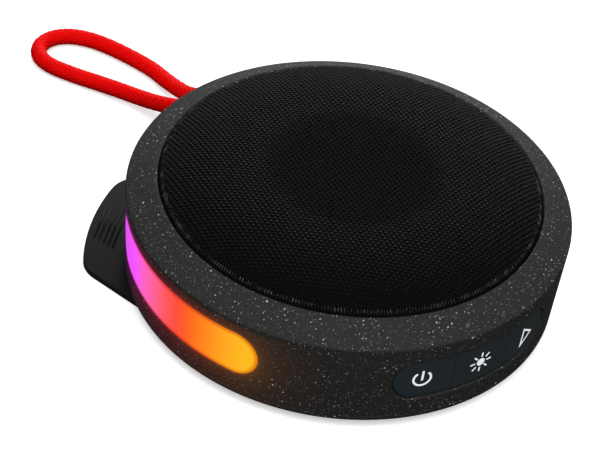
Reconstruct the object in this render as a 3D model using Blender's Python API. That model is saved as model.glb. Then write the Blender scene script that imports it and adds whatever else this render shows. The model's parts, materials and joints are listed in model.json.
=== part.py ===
"""A round shower speaker that lies on its suction cup.

Frame: the origin is on the speaker's axis, at the surface it rests on. +Z is up through the cloth
grille, -Y is the side with the three keys, and +Y is the side with the carrying loop.
All dimensions are in millimetres and are turned into metres where a mesh is written.
"""
import math

import bmesh
import bpy
from mathutils import Matrix, Vector

MM = 0.001
GAP = 0.3                     # clearance between two neighbouring pieces

# ---- driving dimensions, in millimetres -------------------------------------------------------
R_EDGE = 55.0                 # housing radius at the sharp outer edge of the sloped ring
R_BOTTOM = 53.65              # housing radius at its underside
R_CLOTH = 47.4                # inner radius of the sloped ring, where the cloth starts
R_INNER = 52.2                # inside of the housing wall
Z_BOTTOM = 2.4                # underside of the housing above the resting surface
Z_SEAM = 4.3                  # joint between the front housing and the rear cover
Z_EDGE = 26.3                 # height of the ring's outer edge
Z_CLOTH = 30.5                # height of the ring's inner edge
DOME_RISE = 5.8               # the cloth's crown above the ring's inner edge
DOME_POWER = 4.7              # how flat the crown is before it falls away to its edge
CLOTH_THICK = 0.6

AROUND = 48                   # sides of the large turned bodies
AROUND_DRIVER = 28            # sides of the driver's turned bodies

Z_BAFFLE_TOP = 26.0           # the shelf inside the ring that carries grille and driver
Z_BAFFLE_LOW = 23.6
R_BAFFLE_HOLE = 21.7
Z_FLOOR = 10.0                # inside floor of the rear cover
Z_RECESS = 8.2                # ceiling of the round recess that takes the suction cup
R_RECESS = 48.0
R_HUB_HOLE = 4.3

AZ_KEYS = 270.0               # azimuths about +Z, anticlockwise from +X
AZ_STRAP = 90.0
AZ_LIGHT_LEFT = 180.0
AZ_LIGHT_RIGHT = 0.0
AZ_PORT = 60.0
AZ_TAB = 132.5

PAD_Z = 15.3                  # the strip of three keys
PAD_HALF_HEIGHT = 6.0
PAD_HALF_LENGTH = 23.5
KEY_STEP = 16.0               # arc from one key's centre to the next
KEY_RECESS = 0.25             # keys sit this far under the wall's surface

LIGHT_Z = 16.0
LIGHT_HALF_HEIGHT = 6.5
LIGHT_HALF_LENGTH = 29.6

PORT_Z = 15.0
PORT_HALF_HEIGHT = 4.5
PORT_HALF_LENGTH = 8.0

R_LIP = 45.4                  # the suction cup's lip
LIP_THICK = 1.6
R_TAB = 64.1                  # outer edge of the pull tab
TAB_HALF_WIDTH = 18.0         # half width at the tab's outer corners

STRAP_DIAMETER = 4.2
STRAP_Z = 14.5
STRAP_HALF_PITCH = 3.6        # half the distance between the two legs

CASE_SCREW_RADIUS = 44.5
CASE_SCREW_AZIMUTHS = (43.0, 137.0, 223.0, 317.0)
DRIVER_SCREW_RADIUS = 24.8
DRIVER_SCREW_AZIMUTHS = (45.0, 135.0, 225.0, 315.0)
BOARD_SCREWS = ((-35.0, 17.5), (-35.0, -17.5))

# The loop's own points in millimetres: out of one hole, round on the surface, and back.
STRAP_ROUTE = (
    (3.6, 45.2, 14.5), (3.6, 50.0, 14.5), (3.5, 55.5, 14.4), (3.1, 61.5, 13.0), (2.9, 67.5, 10.0),
    (3.3, 73.2, 6.7), (4.2, 79.0, 4.2), (4.6, 85.0, 2.7), (4.2, 92.0, 2.2), (1.8, 100.0, 2.2),
    (-1.0, 106.8, 2.2), (-3.9, 111.5, 2.2), (-7.6, 114.9, 2.2), (-12.2, 116.3, 2.2),
    (-16.6, 115.0, 2.2), (-19.2, 111.3, 2.2), (-18.9, 106.2, 2.2), (-15.6, 99.6, 2.2),
    (-11.7, 93.2, 2.3), (-8.9, 87.2, 2.9), (-7.2, 81.0, 4.3), (-6.3, 75.0, 6.4), (-5.5, 69.0, 9.0),
    (-4.6, 62.5, 12.2), (-3.8, 56.0, 14.2), (-3.6, 50.0, 14.5), (-3.6, 45.2, 14.5),
)
BATTERY_LEAD_ROUTE = (
    (31.0, -21.5, 15.0), (29.8, -24.3, 14.2), (25.5, -28.0, 12.4), (18.5, -32.0, 11.6),
    (8.0, -35.5, 11.4), (-6.0, -36.0, 11.4), (-17.0, -32.5, 11.8), (-24.0, -28.0, 13.0),
    (-27.8, -24.0, 14.4), (-30.0, -19.0, 14.4),
)
DRIVER_LEAD_ROUTE = (
    (-18.0, 0.0, 16.6), (-20.5, 0.2, 16.0), (-23.5, 0.6, 15.6), (-26.5, 0.9, 15.4), (-29.0, 1.0, 15.2),
)

# ---- materials: base colour, roughness, metallic ----------------------------------------------
FINISHES = {
    "speckled_shell": ((0.032, 0.031, 0.031), 0.55, 0.0),
    "black_cloth": ((0.010, 0.011, 0.011), 0.85, 0.0),
    "key_silicone": ((0.012, 0.019, 0.022), 0.45, 0.0),
    "lit_lens": ((0.95, 0.42, 0.12), 0.25, 0.0),
    "cup_rubber": ((0.020, 0.021, 0.023), 0.60, 0.0),
    "red_cord": ((0.72, 0.010, 0.008), 0.70, 0.0),
    "black_plastic": ((0.020, 0.020, 0.020), 0.50, 0.0),
    "soft_seal": ((0.050, 0.050, 0.050), 0.80, 0.0),
    "steel": ((0.55, 0.55, 0.56), 0.30, 1.0),
    "ferrite": ((0.060, 0.058, 0.056), 0.70, 0.0),
    "copper": ((0.72, 0.35, 0.18), 0.35, 1.0),
    "paper_cone": ((0.030, 0.030, 0.032), 0.75, 0.0),
    "spider_cloth": ((0.55, 0.42, 0.20), 0.85, 0.0),
    "circuit_board": ((0.010, 0.110, 0.045), 0.45, 0.0),
    "battery_wrap": ((0.30, 0.33, 0.38), 0.35, 0.0),
    "foam": ((0.10, 0.10, 0.10), 0.95, 0.0),
    "lead_sheath": ((0.35, 0.02, 0.02), 0.45, 0.0),
}


def finish(name):
    """The material of that name, made on first use."""
    material = bpy.data.materials.get(name)
    if material:
        return material
    colour, roughness, metallic = FINISHES[name]
    material = bpy.data.materials.new(name)
    material.use_nodes = True
    shader = material.node_tree.nodes["Principled BSDF"]
    shader.inputs["Base Color"].default_value = (*colour, 1.0)
    shader.inputs["Roughness"].default_value = roughness
    shader.inputs["Metallic"].default_value = metallic
    return material


# ---- mesh helpers -----------------------------------------------------------------------------
def polar(radius, azimuth, z=0.0):
    """A point in millimetres at that radius and azimuth in degrees."""
    angle = math.radians(azimuth)
    return Vector((radius * math.cos(angle), radius * math.sin(angle), z))


def write_object(name, points, faces, finish_name, origin=(0.0, 0.0, 0.0)):
    """A named object from points in millimetres, its faces turned outwards, its origin as given."""
    origin = Vector(origin)
    mesh = bpy.data.meshes.new(name)
    mesh.from_pydata([(Vector(p) - origin) * MM for p in points], [], faces)
    shell = bmesh.new()
    shell.from_mesh(mesh)
    bmesh.ops.recalc_face_normals(shell, faces=shell.faces)
    shell.to_mesh(mesh)
    shell.free()
    mesh.materials.append(finish(finish_name))
    mesh.shade_smooth()
    mesh.set_sharp_from_angle(angle=math.radians(35))
    item = bpy.data.objects.new(name, mesh)
    item.location = origin * MM
    bpy.context.collection.objects.link(item)
    return item


def revolve_points(profile, segments):
    """Points and faces of a profile of (radius, z) turned about Z.

    A profile that starts and ends on the axis is a solid; any other is closed into a ring.
    """
    on_axis = profile[0][0] == 0.0 and profile[-1][0] == 0.0
    points = []
    rows = []
    for radius, z in profile:
        if radius == 0.0:
            rows.append([len(points)] * segments)
            points.append((0.0, 0.0, z))
            continue
        rows.append(list(range(len(points), len(points) + segments)))
        for step in range(segments):
            points.append(tuple(polar(radius, 360.0 * step / segments, z)))
    pairs = list(zip(rows, rows[1:]))
    if not on_axis:
        pairs.append((rows[-1], rows[0]))
    faces = []
    for low, high in pairs:
        for step in range(segments):
            after = (step + 1) % segments
            corners = [low[step], low[after], high[after], high[step]]
            faces.append(list(dict.fromkeys(corners)))
    return points, faces


def revolve(name, profile, segments, finish_name):
    """A turned body about the speaker's axis."""
    points, faces = revolve_points(profile, segments)
    return write_object(name, points, faces, finish_name)


def turned_at(name, profile, segments, finish_name, matrix, origin=None):
    """A turned body moved by a matrix in millimetres, such as a screw or a key's stem."""
    points, faces = revolve_points(profile, segments)
    moved = [matrix @ Vector(p) for p in points]
    return write_object(name, moved, faces, finish_name, origin or (0.0, 0.0, 0.0))


def rod_profile(radius, start, end):
    """The profile of a plain round rod."""
    return [(0.0, start), (radius, start), (radius, end), (0.0, end)]


def radial_matrix(azimuth, z):
    """Turns +Z into the outward radial direction at that azimuth and height."""
    outward = polar(1.0, azimuth)
    return Matrix.Translation((0.0, 0.0, z)) @ outward.to_track_quat("Z", "Y").to_matrix().to_4x4()


def fillet(before, corner, after, radius, steps):
    """Points that round a corner of a profile."""
    corner = Vector(corner)
    to_before = (Vector(before) - corner).normalized()
    to_after = (Vector(after) - corner).normalized()
    half = to_before.angle(to_after) / 2.0
    reach = radius / math.tan(half)
    centre = corner + (to_before + to_after).normalized() * (radius / math.sin(half))
    start = corner + to_before * reach - centre
    end = corner + to_after * reach - centre
    arc = start.angle_signed(end)
    turns = [Matrix.Rotation(-arc * step / steps, 2) for step in range(steps + 1)]
    return [tuple(centre + turn @ start) for turn in turns]


def wall_radius(z):
    """Outer radius of the housing wall at a height."""
    share = (z - Z_BOTTOM) / (Z_EDGE - Z_BOTTOM)
    return R_BOTTOM + (R_EDGE - R_BOTTOM) * share


def dome_height(radius):
    """Height of the cloth's outer surface at a radius."""
    return Z_CLOTH + DOME_RISE * (1.0 - (radius / R_CLOTH) ** DOME_POWER)


def strip_stations(half_length, half_height, start, end, step):
    """Arc stations of a strip with round ends, each with its half height."""
    straight = half_length - half_height
    places = []
    for angle in (14.0, 32.0, 50.0, 70.0, 90.0):
        places.append(straight + half_height * math.cos(math.radians(angle)))
    places = [-p for p in places] + places
    count = max(1, round(2.0 * straight / step))
    places += [-straight + 2.0 * straight * i / count for i in range(1, count)]
    places = [p for p in places if start < p < end]
    places += [p for p in (start, end) if abs(p) < half_length - 0.1]
    stations = []
    for place in sorted(places):
        over = max(0.0, abs(place) - straight)
        stations.append((place, math.sqrt(half_height ** 2 - over ** 2)))
    return stations


def strip_points(azimuth, z_middle, stations, inner, outer):
    """Points and faces of a strip wrapped round the speaker's axis.

    inner and outer give a radius at a height. Stations are arcs on the housing's outer radius.
    """
    points = []
    for place, half in stations:
        angle = azimuth + math.degrees(place / wall_radius(z_middle))
        low = z_middle - half
        high = z_middle + half
        for radius_at, z in ((outer, low), (outer, high), (inner, high), (inner, low)):
            points.append(tuple(polar(radius_at(z), angle, z)))
    faces = [[0, 1, 2, 3]]
    for index in range(len(stations) - 1):
        for side in range(4):
            after = (side + 1) % 4
            base = 4 * index
            faces.append([base + side, base + after, base + 4 + after, base + 4 + side])
    last = 4 * (len(stations) - 1)
    faces.append([last + 3, last + 2, last + 1, last])
    return points, faces


def strip(name, azimuth, z_middle, half_length, half_height, inner, outer, finish_name,
          start=-99.0, end=99.0, step=3.2, origin=(0.0, 0.0, 0.0)):
    """A strip with round ends, wrapped round the speaker's axis."""
    stations = strip_stations(half_length, half_height, start, end, step)
    points, faces = strip_points(azimuth, z_middle, stations, inner, outer)
    return write_object(name, points, faces, finish_name, origin)


def constant(radius):
    """A radius that doesn't change with height."""
    return lambda z: radius


def under_wall(depth):
    """A radius that keeps a depth under the wall's surface."""
    return lambda z: wall_radius(z) - depth


def block(name, low, high, finish_name, matrix=None):
    """A box between two corners in millimetres, moved by a matrix."""
    (x0, y0, z0), (x1, y1, z1) = low, high
    points = [(x, y, z) for z in (z0, z1) for y in (y0, y1) for x in (x0, x1)]
    faces = [(0, 1, 3, 2), (4, 6, 7, 5), (0, 4, 5, 1), (2, 3, 7, 6), (0, 2, 6, 4), (1, 5, 7, 3)]
    if matrix:
        points = [matrix @ Vector(p) for p in points]
    return write_object(name, points, faces, finish_name)


def rounded_outline(x0, y0, x1, y1, radius, steps=3):
    """The outline of a rectangle with round corners."""
    corners = ((x1 - radius, y1 - radius, 0), (x0 + radius, y1 - radius, 90),
               (x0 + radius, y0 + radius, 180), (x1 - radius, y0 + radius, 270))
    outline = []
    for x, y, first in corners:
        for step in range(steps + 1):
            outline.append(Vector((x, y, 0.0)) + polar(radius, first + 90.0 * step / steps))
    return outline


def plate(name, outline, z0, z1, finish_name):
    """A flat plate with that outline."""
    count = len(outline)
    points = [(p[0], p[1], z) for z in (z0, z1) for p in outline]
    faces = [list(range(count)), list(range(count, 2 * count))]
    for index in range(count):
        after = (index + 1) % count
        faces.append([index, after, count + after, count + index])
    return write_object(name, points, faces, finish_name)


def combine(item, helper, operation):
    """Adds or cuts a hidden helper body by an exact Boolean."""
    helper.hide_render = True
    helper.display_type = "WIRE"
    modifier = item.modifiers.new(helper.name, "BOOLEAN")
    modifier.operation = operation
    modifier.solver = "EXACT"
    modifier.object = helper


def cut(item, helper):
    combine(item, helper, "DIFFERENCE")


def join(item, helper):
    combine(item, helper, "UNION")


def smooth_route(route, spacing):
    """Points at an even spacing on a Catmull-Rom curve through a route."""
    knots = [Vector(p) for p in route]
    ends = [knots[0] * 2 - knots[1]] + knots + [knots[-1] * 2 - knots[-2]]
    fine = []
    for a, b, c, d in zip(ends, ends[1:], ends[2:], ends[3:]):
        for step in range(24):
            t = step / 24.0
            fine.append(0.5 * (2 * b + (c - a) * t + (2 * a - 5 * b + 4 * c - d) * t ** 2
                               + (3 * b - 3 * c + d - a) * t ** 3))
    fine.append(knots[-1])
    reach = [0.0]
    for a, b in zip(fine, fine[1:]):
        reach.append(reach[-1] + (b - a).length)
    count = max(2, round(reach[-1] / spacing))
    points = []
    index = 0
    for step in range(count + 1):
        target = reach[-1] * step / count
        while index < len(reach) - 2 and reach[index + 1] < target:
            index += 1
        share = (target - reach[index]) / (reach[index + 1] - reach[index])
        points.append(fine[index].lerp(fine[index + 1], share))
    return points


def tube(name, route, spacing, diameter, finish_name):
    """A round cord or lead along a smooth curve through its route."""
    points = smooth_route(route, spacing)
    curve = bpy.data.curves.new(name, "CURVE")
    curve.dimensions = "3D"
    curve.bevel_depth = diameter / 2.0 * MM
    curve.bevel_resolution = 2
    curve.use_fill_caps = True
    spline = curve.splines.new("POLY")
    spline.points.add(len(points) - 1)
    for knot, point in zip(spline.points, points):
        knot.co = (*(point * MM), 1.0)
    curve.materials.append(finish(finish_name))
    item = bpy.data.objects.new(name, curve)
    bpy.context.collection.objects.link(item)
    return item


# ---- housing ----------------------------------------------------------------------------------
def make_front_housing():
    """The ring, the wall and the baffle shelf in one moulding."""
    z_low = Z_SEAM + GAP / 2.0
    wall_foot = (wall_radius(z_low), z_low)
    edge = (R_EDGE, Z_EDGE)
    ring_top = (R_CLOTH, Z_CLOTH)
    profile = [wall_foot]
    profile += fillet(wall_foot, edge, ring_top, 2.2, 3)
    profile += fillet(edge, ring_top, (R_CLOTH, Z_BAFFLE_TOP), 0.5, 1)
    profile += [
        (R_CLOTH, Z_BAFFLE_TOP), (R_BAFFLE_HOLE, Z_BAFFLE_TOP), (R_BAFFLE_HOLE, Z_BAFFLE_LOW),
        (48.8, Z_BAFFLE_LOW), (48.8, 27.6), (R_INNER, 25.6), (R_INNER, 8.2), (50.1, 8.2), (50.1, 7.4),
        (R_INNER, 7.4), (R_INNER, z_low),
    ]
    item = revolve("front_housing", profile, AROUND, "speckled_shell")
    for index, azimuth in enumerate(CASE_SCREW_AZIMUTHS):
        place = Matrix.Translation(polar(CASE_SCREW_RADIUS, azimuth))
        join(item, turned_at(f"boss_{index}", rod_profile(3.2, Z_FLOOR + GAP, Z_BAFFLE_LOW + 0.6), 12,
                             "speckled_shell", place))
        cut(item, turned_at(f"pilot_{index}", rod_profile(1.35, 9.0, 19.0), 8, "speckled_shell", place))
    for index, azimuth in enumerate(DRIVER_SCREW_AZIMUTHS):
        place = Matrix.Translation(polar(DRIVER_SCREW_RADIUS, azimuth))
        cut(item, turned_at(f"driver_pilot_{index}", rod_profile(1.3, 24.3, 27.0), 8,
                            "speckled_shell", place))
    for name, azimuth in (("left", AZ_LIGHT_LEFT), ("right", AZ_LIGHT_RIGHT)):
        cut(item, strip(f"light_window_{name}", azimuth, LIGHT_Z, LIGHT_HALF_LENGTH + GAP,
                        LIGHT_HALF_HEIGHT + GAP, constant(49.6), constant(57.0), "speckled_shell"))
    cut(item, strip("key_window", AZ_KEYS, PAD_Z, PAD_HALF_LENGTH + GAP, PAD_HALF_HEIGHT + GAP,
                    constant(49.0), constant(57.0), "speckled_shell"))
    join(item, strip("port_boss", AZ_PORT, PORT_Z, PORT_HALF_LENGTH + 1.2, PORT_HALF_HEIGHT + 1.3,
                     constant(50.7), constant(53.0), "speckled_shell"))
    cut(item, strip("port_pocket", AZ_PORT, PORT_Z, PORT_HALF_LENGTH + GAP, PORT_HALF_HEIGHT + GAP,
                    constant(52.8), constant(57.0), "speckled_shell"))
    cut(item, strip("port_slot", AZ_PORT, PORT_Z, 5.0, 2.0, constant(49.0), constant(53.6),
                    "speckled_shell"))
    cut(item, strip("strap_window", AZ_STRAP, STRAP_Z, 8.0, 4.2, constant(49.0), constant(57.0),
                    "speckled_shell"))


def make_rear_cover():
    """The underside, with the round recess for the cup and the hub for its stud."""
    z_high = Z_SEAM - GAP / 2.0
    foot = (R_BOTTOM, Z_BOTTOM)
    profile = [(R_RECESS, Z_BOTTOM)]
    profile += fillet((R_RECESS, Z_BOTTOM), foot, (wall_radius(z_high), z_high), 0.9, 2)
    profile += [
        (wall_radius(z_high), z_high), (R_INNER - GAP, z_high), (R_INNER - GAP, 6.0), (49.8, 6.0),
        (49.8, Z_FLOOR), (9.0, Z_FLOOR), (9.0, 11.0), (6.6, 11.0), (6.6, 9.4), (R_HUB_HOLE, 9.4),
        (R_HUB_HOLE, Z_RECESS), (R_RECESS, Z_RECESS),
    ]
    item = revolve("rear_cover", profile, AROUND, "speckled_shell")
    for index, azimuth in enumerate(CASE_SCREW_AZIMUTHS):
        place = Matrix.Translation(polar(CASE_SCREW_RADIUS, azimuth))
        cut(item, turned_at(f"screw_hole_{index}", rod_profile(1.5, 7.0, 11.0), 8, "speckled_shell",
                            place))
    for index, (x, y) in enumerate(BOARD_SCREWS):
        place = Matrix.Translation((x, y, 0.0))
        join(item, turned_at(f"standoff_{index}", rod_profile(2.4, 9.2, 11.2), 10, "speckled_shell",
                             place))
        cut(item, turned_at(f"standoff_pilot_{index}", rod_profile(1.2, 9.0, 12.0), 8,
                            "speckled_shell", place))


def make_case_seal():
    """The square seal between the rear cover's spigot and the front housing's rib."""
    revolve("case_seal", [(50.2, 6.3), (51.9, 6.3), (51.9, 7.1), (50.2, 7.1)], AROUND, "soft_seal")


def make_screw(name, place, shank_radius, shank_low, shank_high, head_radius, head_end):
    """A pan head screw along Z. The head is at the end of the shank that head_end gives."""
    if head_end > shank_high:
        profile = [(0.0, shank_low), (shank_radius, shank_low), (shank_radius, shank_high),
                   (head_radius, shank_high), (head_radius, head_end - 0.3),
                   (head_radius * 0.6, head_end), (0.0, head_end)]
    else:
        profile = [(0.0, head_end), (head_radius * 0.6, head_end), (head_radius, head_end + 0.3),
                   (head_radius, shank_low), (shank_radius, shank_low), (shank_radius, shank_high),
                   (0.0, shank_high)]
    turned_at(name, profile, 8, "steel", place)


def make_fasteners():
    for index, azimuth in enumerate(CASE_SCREW_AZIMUTHS, 1):
        place = Matrix.Translation(polar(CASE_SCREW_RADIUS, azimuth))
        make_screw(f"case_screw_{index}", place, 1.05, 7.9, 18.0, 2.2, 6.5)
    for index, azimuth in enumerate(DRIVER_SCREW_AZIMUTHS, 1):
        place = Matrix.Translation(polar(DRIVER_SCREW_RADIUS, azimuth))
        make_screw(f"driver_screw_{index}", place, 0.9, 24.7, 28.5, 1.5, 29.4)
    for index, (x, y) in enumerate(BOARD_SCREWS, 1):
        make_screw(f"board_screw_{index}", Matrix.Translation((x, y, 0.0)), 0.85, 9.4, 13.0, 1.7, 14.1)


# ---- grille -----------------------------------------------------------------------------------
def make_grille_plate():
    """The domed plate under the cloth, with round holes over the driver."""
    under = CLOTH_THICK + GAP
    top = [(r, dome_height(r) - under) for r in (0.0, 25.0, 34.0, 40.5, 44.8)]
    low = [(r, dome_height(r) - under - 1.3) for r in (43.4, 39.6, 33.4, 24.6, 0.0)]
    rim = [(46.1, 29.4), (46.1, Z_BAFFLE_TOP + GAP), (44.6, Z_BAFFLE_TOP + GAP), (44.4, 29.0)]
    item = revolve("grille_plate", top + rim + low, AROUND, "black_plastic")
    cut(item, hole_field("grille_holes", 8.4, 2, 2.9, 30.0, 38.0))


def hole_field(name, pitch, rings, radius, z0, z1):
    """One cutter for a hexagonal field of round holes about the axis, turned a little off X."""
    points = []
    faces = []
    turn = Matrix.Rotation(math.radians(5.0), 4, "Z")
    for row in range(-rings, rings + 1):
        for column in range(-rings, rings + 1):
            if abs(row + column) > rings:
                continue
            centre = turn @ Vector((pitch * (column + row / 2.0), pitch * row * math.sqrt(3.0) / 2.0, 0.0))
            base = len(points)
            more_points, more_faces = revolve_points(rod_profile(radius, z0, z1), 7)
            points += [Vector(p) + centre for p in more_points]
            faces += [[base + corner for corner in face] for face in more_faces]
    return write_object(name, points, faces, "black_plastic")


def make_grille_cloth():
    """The cloth stretched over the plate, down to a rolled edge inside the ring."""
    outside = [(r, dome_height(r)) for r in (0.0, 25.0, 34.0, 40.5, 44.8, 46.0)]
    inside = [(r, dome_height(r) - CLOTH_THICK) for r in (45.2, 44.2, 40.1, 33.7, 24.8, 0.0)]
    edge = [(46.8, 30.6), (47.1, 29.7), (47.1, Z_BAFFLE_TOP + GAP), (46.45, Z_BAFFLE_TOP + GAP),
            (46.45, 29.6), (46.1, 30.2)]
    revolve("grille_cloth", outside + edge + inside, AROUND, "black_cloth")


# ---- driver -----------------------------------------------------------------------------------
def make_driver():
    basket = revolve("driver_basket", [
        (21.3, 27.2), (26.5, 27.2), (26.5, 28.2), (20.2, 28.2), (20.2, 25.2), (16.6, 21.0), (13.6, 21.0),
        (13.6, 19.8), (9.6, 19.8), (9.6, 18.8), (15.4, 18.8), (21.3, 24.8)], AROUND_DRIVER, "black_plastic")
    gasket = revolve("driver_gasket", [(22.0, 26.3), (26.3, 26.3), (26.3, 26.9), (22.0, 26.9)],
                     AROUND_DRIVER, "soft_seal")
    for index, azimuth in enumerate(DRIVER_SCREW_AZIMUTHS):
        place = Matrix.Translation(polar(DRIVER_SCREW_RADIUS, azimuth))
        cut(basket, turned_at(f"basket_hole_{index}", rod_profile(1.25, 26.5, 29.0), 8, "black_plastic",
                              place))
        cut(gasket, turned_at(f"gasket_hole_{index}", rod_profile(1.25, 26.0, 27.5), 8, "soft_seal",
                              place))
        window = Matrix.Rotation(math.radians(azimuth), 4, "Z")
        cut(basket, block(f"basket_window_{index}", (12.0, -4.5, 21.8), (24.0, 4.5, 24.4),
                          "black_plastic", window))
    revolve("driver_yoke", [(0.0, 14.3), (13.4, 14.3), (13.4, 15.4), (5.2, 15.4), (5.2, 18.6), (0.0, 18.6)],
            24, "steel")
    revolve("driver_magnet", [(8.4, 15.7), (13.0, 15.7), (13.0, 17.3), (8.4, 17.3)], 24, "ferrite")
    revolve("driver_top_plate", [(6.6, 17.6), (12.6, 17.6), (12.6, 18.5), (6.6, 18.5)], 24, "steel")
    revolve("voice_coil", [(5.55, 16.7), (6.25, 16.7), (6.25, 22.6), (5.55, 22.6)], 20, "copper")
    revolve("driver_spider", [
        (6.55, 21.3), (8.2, 21.3), (9.4, 21.8), (10.6, 21.3), (11.8, 21.8), (13.0, 21.3), (16.3, 21.3),
        (16.3, 21.65), (13.2, 21.65), (11.8, 22.15), (10.6, 21.65), (9.4, 22.15), (8.2, 21.65),
        (6.55, 21.65)], 24, "spider_cloth")
    revolve("driver_cone", [
        (5.6, 22.9), (6.9, 22.9), (15.2, 27.6), (16.6, 27.6), (16.6, 28.0), (15.0, 28.0), (6.8, 23.4),
        (5.6, 23.4)], AROUND_DRIVER, "paper_cone")
    cap = [(7.6, 24.2), (7.6, 24.6), (6.0, 25.7), (3.4, 26.5), (0.0, 26.8)]
    cap = [(0.0, 26.4), (3.3, 26.1), (5.8, 25.3), (7.1, 24.3)] + cap
    revolve("driver_dust_cap", cap, 20, "paper_cone")
    roll = []
    for radius, angles in ((2.2, (180, 144, 108, 72, 36, 0)), (1.8, (0, 36, 72, 108, 144, 180))):
        roll.append([(18.8 + radius * math.cos(math.radians(a)), 28.7 + radius * math.sin(math.radians(a)))
                     for a in angles])
    surround = [(15.2, 28.7)] + roll[0] + [(22.9, 28.7), (22.9, 28.3 + GAP - 0.1)]
    surround += [(20.6, 28.5)] + roll[1][1:-1] + [(17.0, 28.3), (15.2, 28.3)]
    revolve("driver_surround", surround, AROUND_DRIVER, "soft_seal")


# ---- lights -----------------------------------------------------------------------------------
def make_lights():
    """On each side a frosted lens in the wall, and the strip of six LEDs behind it."""
    for name, azimuth in (("left", AZ_LIGHT_LEFT), ("right", AZ_LIGHT_RIGHT)):
        strip(f"light_lens_{name}", azimuth, LIGHT_Z, LIGHT_HALF_LENGTH, LIGHT_HALF_HEIGHT,
              constant(51.4), under_wall(0.05), "lit_lens")
        board = strip(f"led_strip_{name}", azimuth, LIGHT_Z, 27.0, 4.5, constant(48.9), constant(49.7),
                      "circuit_board", step=4.0)
        for index in range(6):
            place = radial_matrix(azimuth + 9.6 * (index - 2.5), LIGHT_Z)
            join(board, block(f"led_{name}_{index}", (-1.4, -1.4, 49.4), (1.4, 1.4, 50.8),
                              "circuit_board", place))


# ---- keys -------------------------------------------------------------------------------------
def make_keys():
    """Three silicone keys side by side, their guide, and a switch with its plunger behind each."""
    half_step = KEY_STEP / 2.0
    spans = {"power": (-99.0, -half_step - GAP / 2.0), "light": (-half_step + GAP / 2.0, half_step - GAP / 2.0),
             "play": (half_step + GAP / 2.0, 99.0)}
    frame = strip("keypad_frame", AZ_KEYS, PAD_Z, 26.0, 4.9, constant(49.4), constant(50.3),
                  "black_plastic", step=4.0)
    strip("switch_board", AZ_KEYS, PAD_Z, 26.0, 4.6, constant(44.2), constant(45.2), "circuit_board",
          step=4.0)
    for index, (name, (start, end)) in enumerate(spans.items()):
        azimuth = AZ_KEYS + math.degrees(KEY_STEP * (index - 1) / wall_radius(PAD_Z))
        centre = polar(wall_radius(PAD_Z), azimuth, PAD_Z)
        place = radial_matrix(azimuth, PAD_Z)
        key = strip(f"key_{name}", AZ_KEYS, PAD_Z, PAD_HALF_LENGTH, PAD_HALF_HEIGHT, constant(51.5),
                    under_wall(KEY_RECESS), "key_silicone", start, end, origin=centre)
        join(key, strip(f"key_flange_{name}", AZ_KEYS, PAD_Z, PAD_HALF_LENGTH + 0.8,
                        PAD_HALF_HEIGHT + 0.8, constant(51.1), constant(51.9), "key_silicone", start, end))
        join(key, turned_at(f"key_stem_{name}", rod_profile(2.0, 48.9, 51.6), 10, "key_silicone", place))
        cut(frame, turned_at(f"stem_hole_{name}", rod_profile(2.4, 48.0, 52.0), 10, "black_plastic", place))
        turned_at(f"plunger_{name}", rod_profile(1.1, 47.8, 48.6), 8, "black_plastic", place, centre)
        block(f"switch_{name}", (-2.3, -2.3, 45.6), (2.3, 2.3, 47.0), "black_plastic", place)


# ---- electronics ------------------------------------------------------------------------------
def make_electronics():
    outline = rounded_outline(-43.0, -20.5, -27.0, 20.5, 1.5)
    board = plate("main_board", outline, 11.5, 12.7, "circuit_board")
    for index, (x, y) in enumerate(BOARD_SCREWS):
        cut(board, turned_at(f"board_hole_{index}", rod_profile(1.2, 11.0, 13.0), 8, "circuit_board",
                             Matrix.Translation((x, y, 0.0))))
    block("radio_chip", (-38.5, 4.0, 13.0), (-31.5, 11.0, 14.0), "black_plastic")
    block("amplifier_chip", (-38.0, -10.0, 13.0), (-32.0, -4.0, 14.2), "black_plastic")
    plate("battery", rounded_outline(26.8, -20.3, 44.0, 20.3, 2.0), 11.2, 19.6, "battery_wrap")
    plate("battery_pad", rounded_outline(28.5, -18.0, 42.5, 18.0, 2.0), 10.3, 10.9, "foam")
    tube("battery_lead", BATTERY_LEAD_ROUTE, 3.4, 1.6, "lead_sheath")
    tube("driver_lead", DRIVER_LEAD_ROUTE, 2.4, 1.4, "lead_sheath")


def make_charging_port():
    """The socket on its little board, and the hinged rubber cover over it."""
    across = polar(1.0, AZ_PORT + 90.0)
    outward = polar(1.0, AZ_PORT)
    turn = Matrix((
        (across.x, 0.0, outward.x, 0.0), (across.y, 0.0, outward.y, 0.0), (0.0, 1.0, 0.0, PORT_Z),
        (0.0, 0.0, 0.0, 1.0)))
    socket = block("usb_socket", (-4.45, -1.6, 43.0), (4.45, 1.6, 50.2), "steel", turn)
    cut(socket, block("socket_mouth", (-4.1, -1.2, 44.4), (4.1, 1.2, 51.0), "steel", turn))
    block("usb_board", (-6.5, -3.1, 41.5), (6.5, -2.1, 49.4), "circuit_board", turn)
    hinge = polar(wall_radius(PORT_Z), AZ_PORT - math.degrees((PORT_HALF_LENGTH + 0.2) / wall_radius(PORT_Z)),
                  PORT_Z)
    cover = strip("port_cover", AZ_PORT, PORT_Z, PORT_HALF_LENGTH, PORT_HALF_HEIGHT, constant(53.2),
                  under_wall(0.0), "cup_rubber", origin=hinge)
    join(cover, strip("port_plug", AZ_PORT, PORT_Z, 4.3, 1.5, constant(52.0), constant(53.4),
                      "cup_rubber"))


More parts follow.
